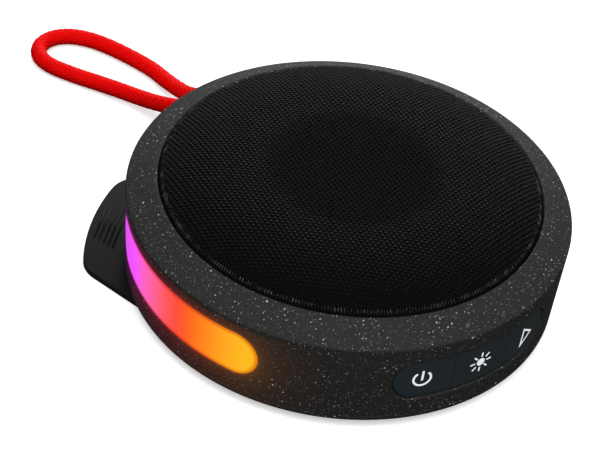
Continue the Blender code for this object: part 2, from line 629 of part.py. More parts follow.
# ---- suction cup ------------------------------------------------------------------------------
def tab_outline():
    """The pull tab's outline: straight sides that leave the lip as tangents, a round outer end."""
    corner_x = math.sqrt(R_TAB ** 2 - TAB_HALF_WIDTH ** 2)
    corner = Vector((corner_x - 2.2, TAB_HALF_WIDTH))
    reach = corner.length
    touch = math.atan2(corner.y, corner.x) + math.acos(R_LIP / reach)
    inner_radius = R_LIP - 2.2
    count = 14
    outline = []
    for step in range(count + 1):
        angle = -touch + 2.0 * touch * step / count
        outline.append((inner_radius * math.cos(angle), inner_radius * math.sin(angle)))
    side = (R_LIP * math.cos(touch), R_LIP * math.sin(touch))
    end_angle = math.degrees(math.atan2(TAB_HALF_WIDTH - 3.4, corner_x))
    arc = [tuple(polar(R_TAB, end_angle * (1.0 - step / 4.0)).xy) for step in range(9)]
    bend = [(corner.x + 0.3, corner.y - 0.1), (corner.x + 1.6, corner.y - 1.3)]
    outer = [side, tuple(corner)] + bend + arc
    outer += [(x, -y) for x, y in reversed(bend)] + [(corner.x, -corner.y), (side[0], -side[1])]
    return outline + outer


def make_suction_cup():
    """The rubber cup with its pull tab. It turns on the stud moulded into its middle."""
    top = [(R_LIP, LIP_THICK), (43.0, 1.9), (36.0, 3.8), (26.0, 5.7), (14.0, 7.2), (9.0, 7.6),
           (R_HUB_HOLE, 7.6), (R_HUB_HOLE, 6.4), (7.3, 6.4), (7.3, 4.6), (0.0, 4.6)]
    underside = [(0.0, 3.2), (14.0, 2.9), (26.0, 2.2), (36.0, 1.0), (40.6, 0.0), (R_LIP, 0.0)]
    item = revolve("suction_cup", underside + top, AROUND, "cup_rubber")
    turn = Matrix.Rotation(math.radians(AZ_TAB), 4, "Z")
    outline = [turn @ Vector((x, y, 0.0)) for x, y in tab_outline()]
    join(item, plate("cup_tab", outline, 0.0, LIP_THICK, "cup_rubber"))
    revolve("cup_stud", [
        (0.0, 4.9), (7.0, 4.9), (7.0, 6.1), (4.0, 6.1), (4.0, 11.1), (2.9, 11.1), (2.9, 12.5), (3.9, 12.5),
        (3.5, 13.3), (0.0, 13.3)], 20, "steel")
    clip = revolve("cup_retainer", [(3.2, 11.35), (7.4, 11.35), (7.4, 12.2), (3.2, 12.2)], 24, "steel")
    cut(clip, block("retainer_mouth", (0.0, -1.9, 11.0), (9.0, 1.9, 13.0), "steel"))
    revolve("stud_seal", [(4.35, 9.7), (6.3, 9.7), (6.3, 10.8), (4.35, 10.8)], 24, "soft_seal")


# ---- carrying loop ----------------------------------------------------------------------------
def make_strap():
    """The loop of braided cord, the bushing in the wall and the block that holds its two ends."""
    bushing = strip("strap_bushing", AZ_STRAP, STRAP_Z, 7.7, 3.9, constant(50.6), under_wall(-0.4),
                    "cup_rubber")
    join(bushing, strip("bushing_flange", AZ_STRAP, STRAP_Z, 8.9, 5.0, constant(50.5), constant(51.9),
                        "cup_rubber"))
    clamp = block("strap_clamp", (-7.5, 42.6, Z_FLOOR + GAP), (7.5, 49.9, 18.6), "black_plastic")
    radius = STRAP_DIAMETER / 2.0 + 0.35
    for index, x in enumerate((-STRAP_HALF_PITCH, STRAP_HALF_PITCH)):
        place = Matrix.Translation((x, 0.0, STRAP_Z)) @ Matrix.Rotation(math.radians(-90.0), 4, "X")
        cut(bushing, turned_at(f"bushing_hole_{index}", rod_profile(radius, 48.0, 58.0), 12, "cup_rubber",
                               place))
        cut(clamp, turned_at(f"clamp_bore_{index}", rod_profile(radius, 44.9, 52.0), 12, "black_plastic",
                             place))
    tube("strap", STRAP_ROUTE, 2.7, STRAP_DIAMETER, "red_cord")


def main():
    for item in list(bpy.data.objects):
        bpy.data.objects.remove(item)
    make_front_housing()
    make_rear_cover()
    make_case_seal()
    make_fasteners()
    make_grille_plate()
    make_grille_cloth()
    make_driver()
    make_lights()
    make_keys()
    make_electronics()
    make_charging_port()
    make_suction_cup()
    make_strap()


main()
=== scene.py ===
# %% [markdown]
# # A round shower speaker
# The speaker lies on its suction cup. A speckled housing holds a domed cloth grille, two light bars,
# a strip of three keys and a loop of red cord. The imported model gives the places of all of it.
# Lengths below are in millimetres, and MM turns them into Blender's metres.

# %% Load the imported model
import json
import math

import bmesh
import bpy
from mathutils import Matrix, Vector


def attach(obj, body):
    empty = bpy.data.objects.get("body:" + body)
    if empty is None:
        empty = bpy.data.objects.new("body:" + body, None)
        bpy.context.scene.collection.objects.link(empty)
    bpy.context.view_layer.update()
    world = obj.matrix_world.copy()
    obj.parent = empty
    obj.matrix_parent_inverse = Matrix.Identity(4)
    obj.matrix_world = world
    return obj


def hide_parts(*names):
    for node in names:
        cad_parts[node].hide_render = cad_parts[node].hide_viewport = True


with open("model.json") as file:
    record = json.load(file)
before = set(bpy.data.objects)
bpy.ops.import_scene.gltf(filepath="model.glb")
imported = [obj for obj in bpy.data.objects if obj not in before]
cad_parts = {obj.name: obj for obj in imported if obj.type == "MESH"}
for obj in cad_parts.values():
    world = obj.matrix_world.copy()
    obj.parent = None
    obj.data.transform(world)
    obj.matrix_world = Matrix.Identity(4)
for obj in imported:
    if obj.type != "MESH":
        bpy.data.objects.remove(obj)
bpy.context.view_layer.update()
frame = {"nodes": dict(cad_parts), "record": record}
MM = 0.001

# %% [markdown]
# ## Camera
# The camera looks down on the side between the light bar and the keys. It is described as a
# photographer would: how far round, how high, how far away, and how much it leans to one side.

# %% Camera
TURN_LEFT = math.radians(42.0)
HEIGHT_ANGLE = math.radians(39.53)
DISTANCE = 660.0 * MM
RING_CENTRE = Vector((0.0, 0.0, 26.3)) * MM
AIM = Vector((-16.95, -2.45, 26.3)) * MM
LEAN = math.radians(7.455)

camera_data = bpy.data.cameras.new("camera")
camera_data.lens = 161.6
camera_data.sensor_width = 36.0
camera = bpy.data.objects.new("camera", camera_data)
bpy.context.collection.objects.link(camera)
level = math.cos(HEIGHT_ANGLE)
camera.location = RING_CENTRE + DISTANCE * Vector(
    (-math.sin(TURN_LEFT) * level, -math.cos(TURN_LEFT) * level, math.sin(HEIGHT_ANGLE)))
looking = (AIM - camera.location).to_track_quat("-Z", "Y").to_matrix().to_4x4()
camera.rotation_euler = (looking @ Matrix.Rotation(LEAN, 4, "Z")).to_euler()
bpy.context.scene.camera = camera
print("camera at", [round(v, 4) for v in camera.location])

# %% [markdown]
# ## Writing node graphs as expressions
# Materials and Geometry Nodes both need many small nodes. `Graph.add` makes any node, and `Value`
# wraps a socket so that `1 - mask * 2` adds the Math nodes by itself.


# %% Node graph helper
class Value:
    """A socket of a node graph that Python's operators work on."""

    def __init__(self, graph, socket):
        self.graph = graph
        self.socket = socket

    def __add__(self, other):
        return self.graph.math("ADD", self, other)

    def __sub__(self, other):
        return self.graph.math("SUBTRACT", self, other)

    def __rsub__(self, other):
        return self.graph.math("SUBTRACT", other, self)

    def __mul__(self, other):
        return self.graph.math("MULTIPLY", self, other)

    def __truediv__(self, other):
        return self.graph.math("DIVIDE", self, other)

    def __pow__(self, other):
        return self.graph.math("POWER", self, other)

    def __neg__(self):
        return self.graph.math("MULTIPLY", self, -1.0)

    __radd__ = __add__


class Graph:
    """A node tree, with one method that adds any node."""

    def __init__(self, tree):
        self.tree = tree

    def add(self, kind, settings=None, inputs=None, output=0):
        node = self.tree.nodes.new(kind)
        for key, value in (settings or {}).items():
            if key == "stops":
                self.set_stops(node.color_ramp, value)
            else:
                setattr(node, key, value)
        for key, value in (inputs or {}).items():
            self.feed(node.inputs[key], value)
        return Value(self, node.outputs[output])

    def feed(self, socket, value):
        """Links or sets an input. A colour is given as three numbers."""
        if isinstance(value, Value):
            self.tree.links.new(value.socket, socket)
        elif socket.type == "RGBA":
            socket.default_value = (*value, 1.0)
        else:
            socket.default_value = value

    def set_stops(self, ramp, stops):
        while len(ramp.elements) > 1:
            ramp.elements.remove(ramp.elements[-1])
        ramp.elements[0].position = stops[0][0]
        ramp.elements[0].color = (*stops[0][1], 1.0)
        for place, colour in stops[1:]:
            ramp.elements.new(place).color = (*colour, 1.0)

    def math(self, operation, *values):
        return self.add("ShaderNodeMath", {"operation": operation}, dict(enumerate(values)))

    def ease(self, value, low, high, start=0.0, end=1.0):
        """A smooth step of a value from one level to another."""
        return self.add("ShaderNodeMapRange", {"interpolation_type": "SMOOTHSTEP"},
                        {"Value": value, "From Min": low, "From Max": high, "To Min": start, "To Max": end})

    def mix(self, share, first, second):
        """A blend of two colours."""
        return self.add("ShaderNodeMix", {"data_type": "RGBA"}, {0: share, 6: first, 7: second}, output=2)

    def flat_distance(self, x, y):
        """The length of a flat arrow, from its two parts."""
        return self.math("SQRT", x * x + y * y)

    def vector(self, operation, *values):
        return self.add("ShaderNodeVectorMath", {"operation": operation}, dict(enumerate(values)))

    def scaled(self, vector, factor):
        return self.add("ShaderNodeVectorMath", {"operation": "SCALE"}, {0: vector, "Scale": factor})

    def split(self, vector):
        """The three parts of a vector."""
        return [self.add("ShaderNodeSeparateXYZ", {}, {0: vector}, output=part) for part in range(3)]


class Look(Graph):
    """A material being made: a graph around one Principled shader, measured in millimetres."""

    def __init__(self, name, roughness=0.5, metallic=0.0, specular=0.5):
        self.material = bpy.data.materials.new(name)
        self.material.use_nodes = True
        super().__init__(self.material.node_tree)
        self.shader = self.tree.nodes["Principled BSDF"]
        self.set("Roughness", roughness)
        self.set("Metallic", metallic)
        self.set("Specular IOR Level", specular)
        object_place = self.add("ShaderNodeTexCoord", output=3)
        self.place = self.scaled(object_place, 1.0 / MM)

    def set(self, name, value):
        self.feed(self.shader.inputs[name], value)

    def glow(self, colour, strength=1.0):
        """Light that the surface gives off."""
        self.set("Emission Color", colour)
        self.set("Emission Strength", strength)

    def noise(self, size, detail=2.0):
        """Cloudy variation from 0 to 1 with patches of about that size."""
        return self.add("ShaderNodeTexNoise", {},
                        {"Vector": self.place, "Scale": 1.0 / size, "Detail": detail})

    def mottled(self, size, detail, dark, light):
        """The base colour, which varies between two colours in patches of about that size."""
        self.set("Base Color", self.mix(self.noise(size, detail), dark, light))

    def bump(self, height, depth):
        """Relief of that depth in millimetres."""
        normal = self.add("ShaderNodeBump", {}, {"Height": height, "Strength": 1.0, "Distance": depth * MM})
        self.set("Normal", normal)


print("graph helpers ready")

# %% [markdown]
# ## The speckled housing
# The housing is moulded from recycled plastic: charcoal, matt, with white flecks of many sizes.
# A Voronoi pattern gives one fleck to each cell. Flecks of three sizes, a little torn by noise, look
# like ground plastic. Around each light bar the wall has a painted glow, emission that stands for the
# bar's light spilling onto it. The glow follows the distance to the bar, which is a strip with round ends.

# %% Places of the light bars
R_BOTTOM = 53.65
R_EDGE = 55.0
Z_BOTTOM = 2.4
Z_EDGE = 26.3
LIGHT_Z = 16.0
LIGHT_HALF_HEIGHT = 6.5
LIGHT_HALF_LENGTH = 29.6
R_LIGHT = 54.4


def wall_radius(z):
    """Outer radius of the housing wall at a height."""
    return R_BOTTOM + (R_EDGE - R_BOTTOM) * (z - Z_BOTTOM) / (Z_EDGE - Z_BOTTOM)


def light_bar_place(look):
    """How far along the nearest light bar a point is, and how far outside its edge."""
    x, y, z = look.split(look.place)
    along = look.math("ARCTAN2", y, look.math("ABSOLUTE", x)) * R_LIGHT
    over = look.math("MAXIMUM", look.math("ABSOLUTE", along) - (LIGHT_HALF_LENGTH - LIGHT_HALF_HEIGHT), 0.0)
    rise = z - LIGHT_Z
    outside = look.flat_distance(over, rise) - LIGHT_HALF_HEIGHT
    return along, outside, z


print("wall radius behind the light bars:", round(wall_radius(LIGHT_Z), 2), "mm")


# %% Housing material
def flecks(look, place, cell, size, soft=0.35):
    """Round flecks of about that size, one to a cell, each with its own brightness."""
    settings = {"feature": "F1", "voronoi_dimensions": "3D"}
    inputs = {"Vector": place, "Scale": 1.0 / cell, "Randomness": 1.0}
    distance = look.add("ShaderNodeTexVoronoi", settings, inputs)
    colour = look.add("ShaderNodeTexVoronoi", settings, inputs, output=1)
    shade, width, _ = look.split(colour)
    reach = (0.35 + width * 0.65) * (size / cell)
    inside = look.math("SUBTRACT", 1.0, look.ease(distance / reach, 1.0 - soft, 1.0))
    return inside * (0.12 + shade * shade * 1.10)


def speckled_shell():
    look = Look("speckled_shell", specular=0.07)
    torn = look.add("ShaderNodeTexNoise", {}, {"Vector": look.place, "Scale": 1.7, "Detail": 2.0}, output=1)
    shifted = look.vector("ADD", look.place, look.scaled(torn, 0.55))
    streaked = look.add("ShaderNodeMapping", {},
                        {"Vector": shifted, "Rotation": (0.5, 0.4, 0.9), "Scale": (0.55, 1.6, 1.0)})
    large = flecks(look, shifted, 1.55, 0.30)
    small = flecks(look, shifted, 0.52, 0.15)
    slivers = flecks(look, streaked, 1.05, 0.20)
    crowd = look.ease(look.noise(6.0), 0.36, 0.62, 0.45, 1.0)
    mask = look.math("MAXIMUM", large, look.math("MAXIMUM", small * 0.75, slivers)) * crowd
    body = look.mix(look.noise(0.9, 4.0), (0.0230, 0.0228, 0.0226), (0.0420, 0.0415, 0.0410))
    look.set("Base Color", look.mix(mask, body, (0.86, 0.84, 0.80)))
    look.set("Roughness", 0.62 + look.noise(0.4) * 0.14)
    look.bump(look.noise(0.22, 3.0), 0.02)
    # Painted glow: emission on the wall near each light bar stands for the bar's light spilling onto the
    # wall.
    along, outside, z = light_bar_place(look)
    reach = look.math("EXPONENT", look.math("MAXIMUM", outside, 0.0) * -0.20)
    near = look.math("EXPONENT", look.math("MAXIMUM", outside, 0.0) * -2.6)
    below_edge = look.ease(z, 24.2, 26.2, 1.0, 0.0)
    share = look.ease(along, -34.0, 34.0)
    painted_glow_colour = look.add("ShaderNodeValToRGB", {"stops": [
        (0.0, (0.50, 0.16, 0.002)), (0.25, (0.62, 0.07, 0.004)), (0.45, (0.62, 0.015, 0.03)),
        (0.70, (0.55, 0.01, 0.12)), (1.0, (0.42, 0.02, 0.45))]}, {0: share})
    look.glow(look.scaled(painted_glow_colour, (reach * 0.115 + near * 0.20) * below_edge))
    return look.material


SPECKLED_SHELL = speckled_shell()
print("material:", SPECKLED_SHELL.name)

# %% [markdown]
# ## The lit bar
# Six coloured LEDs shine through a frosted lens, so the colour runs without steps from violet at
# the cord's end to amber at the keys' end. The rim is darker, where the lens sits in the wall.


# %% Lens material
def lit_lens():
    look = Look("lit_lens", roughness=0.35, specular=0.03)
    along, outside, z = light_bar_place(look)
    share = along / (2.0 * LIGHT_HALF_LENGTH) + 0.5
    colour = look.add("ShaderNodeValToRGB", {"stops": [
        (0.0, (1.0, 0.49, 0.012)), (0.06, (1.0, 0.49, 0.014)), (0.13, (1.0, 0.42, 0.014)),
        (0.20, (1.0, 0.31, 0.012)), (0.27, (1.0, 0.21, 0.010)), (0.35, (1.0, 0.115, 0.015)),
        (0.41, (1.0, 0.078, 0.045)), (0.48, (1.0, 0.10, 0.11)), (0.56, (1.0, 0.12, 0.29)),
        (0.66, (1.0, 0.12, 0.56)), (0.74, (0.93, 0.095, 1.0)), (1.0, (0.74, 0.07, 0.92))]}, {0: share})
    rim = look.mix(1.0, colour, (0.72, 0.36, 0.30))
    rim.socket.node.blend_type = "MULTIPLY"
    depth = look.ease(-outside, 0.0, 1.5)
    look.set("Base Color", (0.010, 0.006, 0.006))
    look.glow(look.mix(depth, rim, colour))
    return look.material


LIT_LENS = lit_lens()
print("material:", LIT_LENS.name)

# %% [markdown]
# ## Cloth, rubber, cord and print
# The grille's cloth is black polyester. It is nearly colourless, with a faint cool sheen on the
# crowns of its knots. The rubber pieces are satin and a touch warmer or cooler than black. The
# cord is dyed a strong red, darker in the furrows between its yarns. The symbols are white print
# with a painted glow that keeps them bright in the wall's shade.


# %% Cloth materials
def cloth_knot():
    look = Look("cloth_knot", specular=0.045)
    x, y, _ = look.split(look.place)
    # Painted shade: over the driver's opening the knots are darker and rougher, so they lose their glints
    # there.
    outside_driver_shade = look.ease(look.flat_distance(x, y), 17.0, 25.0)
    shade = look.mix(look.noise(0.9), (0.0006, 0.0008, 0.0008), (0.0018, 0.0022, 0.0022))
    look.set("Base Color", look.mix(outside_driver_shade, (0.0004, 0.0005, 0.0005), shade))
    look.set("Roughness", 0.85 - outside_driver_shade * 0.40)
    look.bump(look.noise(0.08, 2.0), 0.01)
    return look.material


def cloth_ground():
    look = Look("cloth_ground", roughness=0.9, specular=0.1)
    x, y, _ = look.split(look.place)
    # Painted shade: the ground is darker over the driver's opening.
    outside_driver_shade = look.ease(look.flat_distance(x, y), 20.6, 22.4)
    open_shade = look.mix(look.noise(0.5), (0.0010, 0.0011, 0.0012), (0.0030, 0.0034, 0.0036))
    look.set("Base Color", look.mix(outside_driver_shade * 0.7 + 0.3, (0.0006, 0.0006, 0.0007), open_shade))
    look.bump(look.noise(0.25, 2.0), 0.03)
    return look.material


def edge_thread():
    look = Look("edge_thread", roughness=0.6, specular=0.3)
    # Painted glint: pale patches of colour stand for light caught by the thread ends along the roll of the
    # cloth.
    pale = look.ease(look.noise(2.6, 4.0), 0.46, 0.68)
    look.set("Base Color", look.mix(pale, (0.006, 0.008, 0.010), (0.095, 0.115, 0.125)))
    look.bump(look.noise(0.12, 2.0), 0.02)
    return look.material


CLOTH_KNOT = cloth_knot()
CLOTH_GROUND = cloth_ground()
EDGE_THREAD_PAINTED_GLINT = edge_thread()
print("cloth materials:", CLOTH_KNOT.name, CLOTH_GROUND.name, EDGE_THREAD_PAINTED_GLINT.name)


# %% Rubber, cord and print materials
def satin(name, dark, light, roughness, grain=0.25, relief=0.012, specular=0.3, patch=4.0, metallic=0.0):
    """A plain moulded finish: mottled colour, uneven gloss and a fine grain."""
    look = Look(name, metallic=metallic, specular=specular)
    look.mottled(patch, 4.0, dark, light)
    look.set("Roughness", (roughness - 0.06) + look.noise(0.8, 3.0) * 0.12)
    look.bump(look.noise(grain, 3.0), relief)
    return look.material


def red_cord():
    look = Look("red_cord", specular=0.06)
    fibres = look.noise(0.12, 2.0)
    look.mottled(2.0, 3.0, (0.78, 0.0008, 0.0005), (0.95, 0.0015, 0.0010))
    look.set("Roughness", 0.60 + fibres * 0.2)
    look.bump(fibres, 0.02)
    return look.material


def white_print():
    look = Look("white_print", roughness=0.55, specular=0.3)
    look.mottled(0.6, 3.0, (0.80, 0.81, 0.80), (0.90, 0.90, 0.89))
    # Painted glow: the print gives off light so that it stays bright white in the wall's shade.
    look.glow((0.9, 0.95, 1.0), 0.55)
    look.bump(look.noise(0.15, 2.0), 0.01)
    return look.material


KEY_SILICONE = satin("key_silicone", (0.0275, 0.0395, 0.0460), (0.0340, 0.0475, 0.0545),
                     0.45, 0.18, 0.004, 0.06)
CUP_RUBBER = satin("cup_rubber", (0.0095, 0.0098, 0.0105), (0.0130, 0.0135, 0.0145),
                   0.55, 0.20, 0.008, 0.05)
RED_CORD = red_cord()
WHITE_PRINT_PAINTED_GLOW = white_print()
print("materials:", KEY_SILICONE.name, CUP_RUBBER.name, RED_CORD.name, WHITE_PRINT_PAINTED_GLOW.name)

# %% [markdown]
# ## The loop of cord
# The carrying loop is a braided cord, about 4 mm thick. It leaves one hole of the rubber bushing, lies
# on the surface in a narrow bend and goes back into the other hole. Its route is the one the imported
# model's strap follows, so the same points are used here. The braid is real geometry: twelve yarns wind
# one way and twelve the other, and each passes over and under the others.

# %% Route of the cord
CORD_STEP = 0.34
STEPS_BETWEEN_KNOTS = 24
CORD_ROUTE = (
    (3.6, 45.2, 14.5), (3.6, 50.0, 14.5), (3.5, 55.5, 14.4), (3.1, 61.5, 13.0), (2.9, 67.5, 10.0),
    (3.3, 73.2, 6.7), (4.2, 79.0, 4.2), (4.6, 85.0, 2.7), (4.2, 92.0, 2.2), (1.8, 100.0, 2.2),
    (-1.0, 106.8, 2.2), (-3.9, 111.5, 2.2), (-7.6, 114.9, 2.2), (-12.2, 116.3, 2.2),
    (-16.6, 115.0, 2.2), (-19.2, 111.3, 2.2), (-18.9, 106.2, 2.2), (-15.6, 99.6, 2.2),
    (-11.7, 93.2, 2.3), (-8.9, 87.2, 2.9), (-7.2, 81.0, 4.3), (-6.3, 75.0, 6.4), (-5.5, 69.0, 9.0),
    (-4.6, 62.5, 12.2), (-3.8, 56.0, 14.2), (-3.6, 50.0, 14.5), (-3.6, 45.2, 14.5),
)


def smooth_route(route, spacing):
    """Evenly spaced points on a Catmull-Rom curve through a route."""
    knots = [Vector(p) for p in route]
    ends = [knots[0] * 2 - knots[1]] + knots + [knots[-1] * 2 - knots[-2]]
    fine = []
    for a, b, c, d in zip(ends, ends[1:], ends[2:], ends[3:]):
        for step in range(STEPS_BETWEEN_KNOTS):
            t = step / STEPS_BETWEEN_KNOTS
            fine.append(0.5 * (2 * b + (c - a) * t + (2 * a - 5 * b + 4 * c - d) * t ** 2
                               + (3 * b - 3 * c + d - a) * t ** 3))
    fine.append(knots[-1])
    reach = [0.0]
    for a, b in zip(fine, fine[1:]):
        reach.append(reach[-1] + (b - a).length)
    count = round(reach[-1] / spacing)
    points = []
    index = 0
    for step in range(count + 1):
        target = reach[-1] * step / count
        while index < len(reach) - 2 and reach[index + 1] < target:
            index += 1
        share = (target - reach[index]) / (reach[index + 1] - reach[index])
        points.append(fine[index].lerp(fine[index + 1], share))
    return points, reach[-1]


CORD_PATH, CORD_LENGTH = smooth_route(CORD_ROUTE, CORD_STEP)
print("the cord is", round(CORD_LENGTH, 1), "mm long, in", len(CORD_PATH), "steps")


# %% Mesh helpers
def link_mesh(name, points, faces, material, smooth_angle=35.0):
    """A piece at the origin from points in millimetres, faces turned outwards."""
    mesh = bpy.data.meshes.new(name)
    mesh.from_pydata([Vector(p) * MM for p in points], [], faces)
    shell = bmesh.new()
    shell.from_mesh(mesh)
    bmesh.ops.recalc_face_normals(shell, faces=shell.faces)
    shell.to_mesh(mesh)
    shell.free()
    mesh.materials.append(material)
    mesh.shade_smooth()
    mesh.set_sharp_from_angle(angle=math.radians(smooth_angle))
    item = bpy.data.objects.new(name, mesh)
    bpy.context.collection.objects.link(item)
    return item


def arc_path(radius, start, end, steps):
    """Flat points of an arc round the origin, from one azimuth to another."""
    angles = [math.radians(start + (end - start) * step / steps) for step in range(steps + 1)]
    return [(radius * math.cos(angle), radius * math.sin(angle)) for angle in angles]


def path_frames(path):
    """For each point of a path, two directions square to it that don't twist along the way."""
    frames = []
    side = Vector((1.0, 0.0, 0.0))
    for index in range(len(path)):
        ahead = path[min(index + 1, len(path) - 1)] - path[max(index - 1, 0)]
        ahead.normalize()
        side = (side - ahead * side.dot(ahead)).normalized()
        frames.append((side.copy(), ahead.cross(side)))
    return frames


def sweep(path, frames, outline_at):
    """Points and faces of a closed outline carried along a path."""
    points = []
    faces = []
    for index, (centre, (side, up)) in enumerate(zip(path, frames)):
        outline = outline_at(index)
        for across, height in outline:
            points.append(centre + side * across + up * height)
        size = len(outline)
        if index:
            base = size * index
            for corner in range(size):
                after = (corner + 1) % size
                faces.append([base - size + corner, base - size + after, base + after, base + corner])
    faces.append(list(range(size)))
    faces.append([len(points) - size + corner for corner in range(size)])
    return points, faces


print("mesh helpers ready")

# %% Braided cord
YARNS = 12
LAY = 34.0
YARN_WAVE = 0.06
R_YARN = 1.97
R_CORE = R_YARN - 0.06
CORE_SIDES = 16
YARN_SHAPE = ((-0.52, -0.06), (-0.29, 0.11), (0.0, 0.17), (0.29, 0.11), (0.52, -0.06), (0.0, -0.18))


def yarn_outline(start, turn):
    """The outline of one yarn at each step, wound round the cord's middle."""
    wave = math.copysign(YARN_WAVE, turn)

    def outline(index):
        travelled = CORD_LENGTH * index / (len(CORD_PATH) - 1)
        angle = start + turn * 2.0 * math.pi * travelled / LAY
        radius = R_YARN + wave * math.cos(2.0 * math.pi * YARNS * travelled / LAY)
        out = Vector((math.cos(angle), math.sin(angle)))
        along = Vector((-out.y, out.x))
        return [tuple(out * (radius + height) + along * across) for across, height in YARN_SHAPE]

    return outline


def core_outline(index):
    """The filling under the yarns."""
    return arc_path(R_CORE, 0.0, 360.0, CORE_SIDES)[:-1]


def make_cord():
    frames = path_frames(CORD_PATH)
    points, faces = sweep(CORD_PATH, frames, core_outline)
    for yarn in range(YARNS):
        start = 2.0 * math.pi * yarn / YARNS
        for turn in (1.0, -1.0):
            more_points, more_faces = sweep(CORD_PATH, frames, yarn_outline(start, turn))
            base = len(points)
            points += more_points
            faces += [[base + corner for corner in face] for face in more_faces]
    return link_mesh("cord_loop", points, faces, RED_CORD, 60.0)


cord_loop = make_cord()
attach(cord_loop, "housing")
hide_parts("strap")
CORD_LENGTH * MM
[tuple(p * MM) for p in CORD_PATH]
print("cord:", len(cord_loop.data.polygons), "faces")

# %% [markdown]
# ## Turned bodies
# The housing, the cover and the cup are turned shapes. A profile of radius and height is spun in
# 256 steps, and each corner that a hand would feel is rounded with a true arc.

# %% Turned body helper
AROUND = 256
ARC_STEPS = 8


def polar(radius, azimuth, z=0.0):
    """A point at that radius and azimuth in degrees."""
    angle = math.radians(azimuth)
    return Vector((radius * math.cos(angle), radius * math.sin(angle), z))


def turned(profile, segments=AROUND):
    """Points and faces of a profile spun about Z, closed on the axis or into a ring."""
    on_axis = profile[0][0] == 0.0 and profile[-1][0] == 0.0
    points = []
    rows = []
    for radius, z in profile:
        if radius == 0.0:
            rows.append([len(points)] * segments)
            points.append(Vector((0.0, 0.0, z)))
            continue
        rows.append(list(range(len(points), len(points) + segments)))
        points += [polar(radius, 360.0 * step / segments, z) for step in range(segments)]
    pairs = list(zip(rows, rows[1:]))
    if not on_axis:
        pairs.append((rows[-1], rows[0]))
    faces = []
    for low, high in pairs:
        for step in range(segments):
            after = (step + 1) % segments
            faces.append(list(dict.fromkeys([low[step], low[after], high[after], high[step]])))
    return points, faces


def rounded(before, corner, after, radius, steps):
    """Points of an arc in place of a profile's corner."""
    corner = Vector(corner)
    to_before = (Vector(before) - corner).normalized()
    to_after = (Vector(after) - corner).normalized()
    half = to_before.angle(to_after) / 2.0
    reach = radius / math.tan(half)
    centre = corner + (to_before + to_after).normalized() * (radius / math.sin(half))
    start = corner + to_before * reach - centre
    arc = start.angle_signed(corner + to_after * reach - centre)
    return [tuple(centre + Matrix.Rotation(-arc * step / steps, 2) @ start) for step in range(steps + 1)]


def with_arcs(corners):
    """A profile or flat outline from corners of two numbers, or three where the last rounds it."""
    outline = []
    count = len(corners)
    for index, corner in enumerate(corners):
        if len(corner) == 2:
            outline.append(corner)
            continue
        before = corners[index - 1][:2]
        after = corners[(index + 1) % count][:2]
        outline += rounded(before, corner[:2], after, corner[2], ARC_STEPS)
    return outline


def turned_piece(name, profile, material, segments=AROUND, place=Matrix(), smooth_angle=35.0):
    """A turned body as a piece, carried to its place."""
    points, faces = turned(profile, segments)
    return link_mesh(name, [place @ p for p in points], faces, material, smooth_angle)


print("turned bodies have", AROUND, "steps")


# %% Boolean helper
def cut(item, cutters):
    """Cuts other pieces, joined into one, out of an item for good, and removes them."""
    tool = bmesh.new()
    for cutter in cutters:
        tool.from_mesh(cutter.data)
        bpy.data.objects.remove(cutter)
    tool_mesh = bpy.data.meshes.new("cutter")
    tool.to_mesh(tool_mesh)
    tool.free()
    joined = bpy.data.objects.new("cutter", tool_mesh)
    bpy.context.collection.objects.link(joined)
    modifier = item.modifiers.new("cut", "BOOLEAN")
    modifier.operation = "DIFFERENCE"
    modifier.solver = "EXACT"
    modifier.object = joined
    bake(item)
    bpy.data.objects.remove(joined)


def bake(item, smooth_angle=35.0):
    """Turns an object's modifiers into its plain mesh."""
    evaluated = item.evaluated_get(bpy.context.evaluated_depsgraph_get())
    mesh = bpy.data.meshes.new_from_object(evaluated)
    item.modifiers.clear()
    mesh.name = item.name
    item.data = mesh
    if smooth_angle:
        mesh.shade_smooth()
        mesh.set_sharp_from_angle(angle=math.radians(smooth_angle))


print("boolean helper ready")

# %% [markdown]
# ## Strips wrapped round the wall
# Light bars, keys, the port door and the bushing are all the same form: a strip with round ends
# that follows the wall. One function makes it from a few outlines, each a little smaller or
# larger than the last, so a rounded or chamfered rim comes with it.


# %% Wrapped strip helper
def strip_stations(half_length, half_height, inset, spacing=1.3, end_steps=14):
    """Pairs of place along and half height, from one round end to the other."""
    straight = half_length - half_height
    radius = half_height - inset
    ends = [(straight + radius * math.cos(math.pi / 2.0 * step / end_steps),
             radius * math.sin(math.pi / 2.0 * step / end_steps)) for step in range(end_steps + 1)]
    count = max(1, round(2.0 * straight / spacing))
    middle = [(-straight + 2.0 * straight * step / count, radius) for step in range(1, count)]
    return [(-along, half) for along, half in ends] + middle + ends[::-1]


def wrapped_strip(name, azimuth, z_middle, half_length, half_height, rims, material):
    """A closed strip round the wall. rims are (inset, radius at a height), inside face first."""
    points = []
    for inset, radius_at in rims:
        stations = strip_stations(half_length, half_height, inset)
        ring = [(along, -half) for along, half in stations]
        ring += [(along, half) for along, half in stations[-2:0:-1]]
        for along, rise in ring:
            z = z_middle + rise
            points.append(polar(radius_at(z), azimuth + math.degrees(along / wall_radius(z_middle)), z))
    size = len(ring)
    last = len(stations) - 1
    faces = []
    for level in range(len(rims) - 1):
        for step in range(size):
            after = (step + 1) % size
            base = level * size
            faces.append([base + step, base + after, base + size + after, base + size + step])
    for base in (0, size * (len(rims) - 1)):
        for step in range(last):
            far_side = [base + (size - step - 1) % size, base + (size - step) % size]
            faces.append(list(dict.fromkeys([base + step, base + step + 1, *far_side])))
    return link_mesh(name, points, faces, material)


def at(radius):
    """The same radius at every height."""
    return lambda z: radius


def under(depth):
    """A radius that keeps that depth under the wall."""
    return lambda z: wall_radius(z) - depth


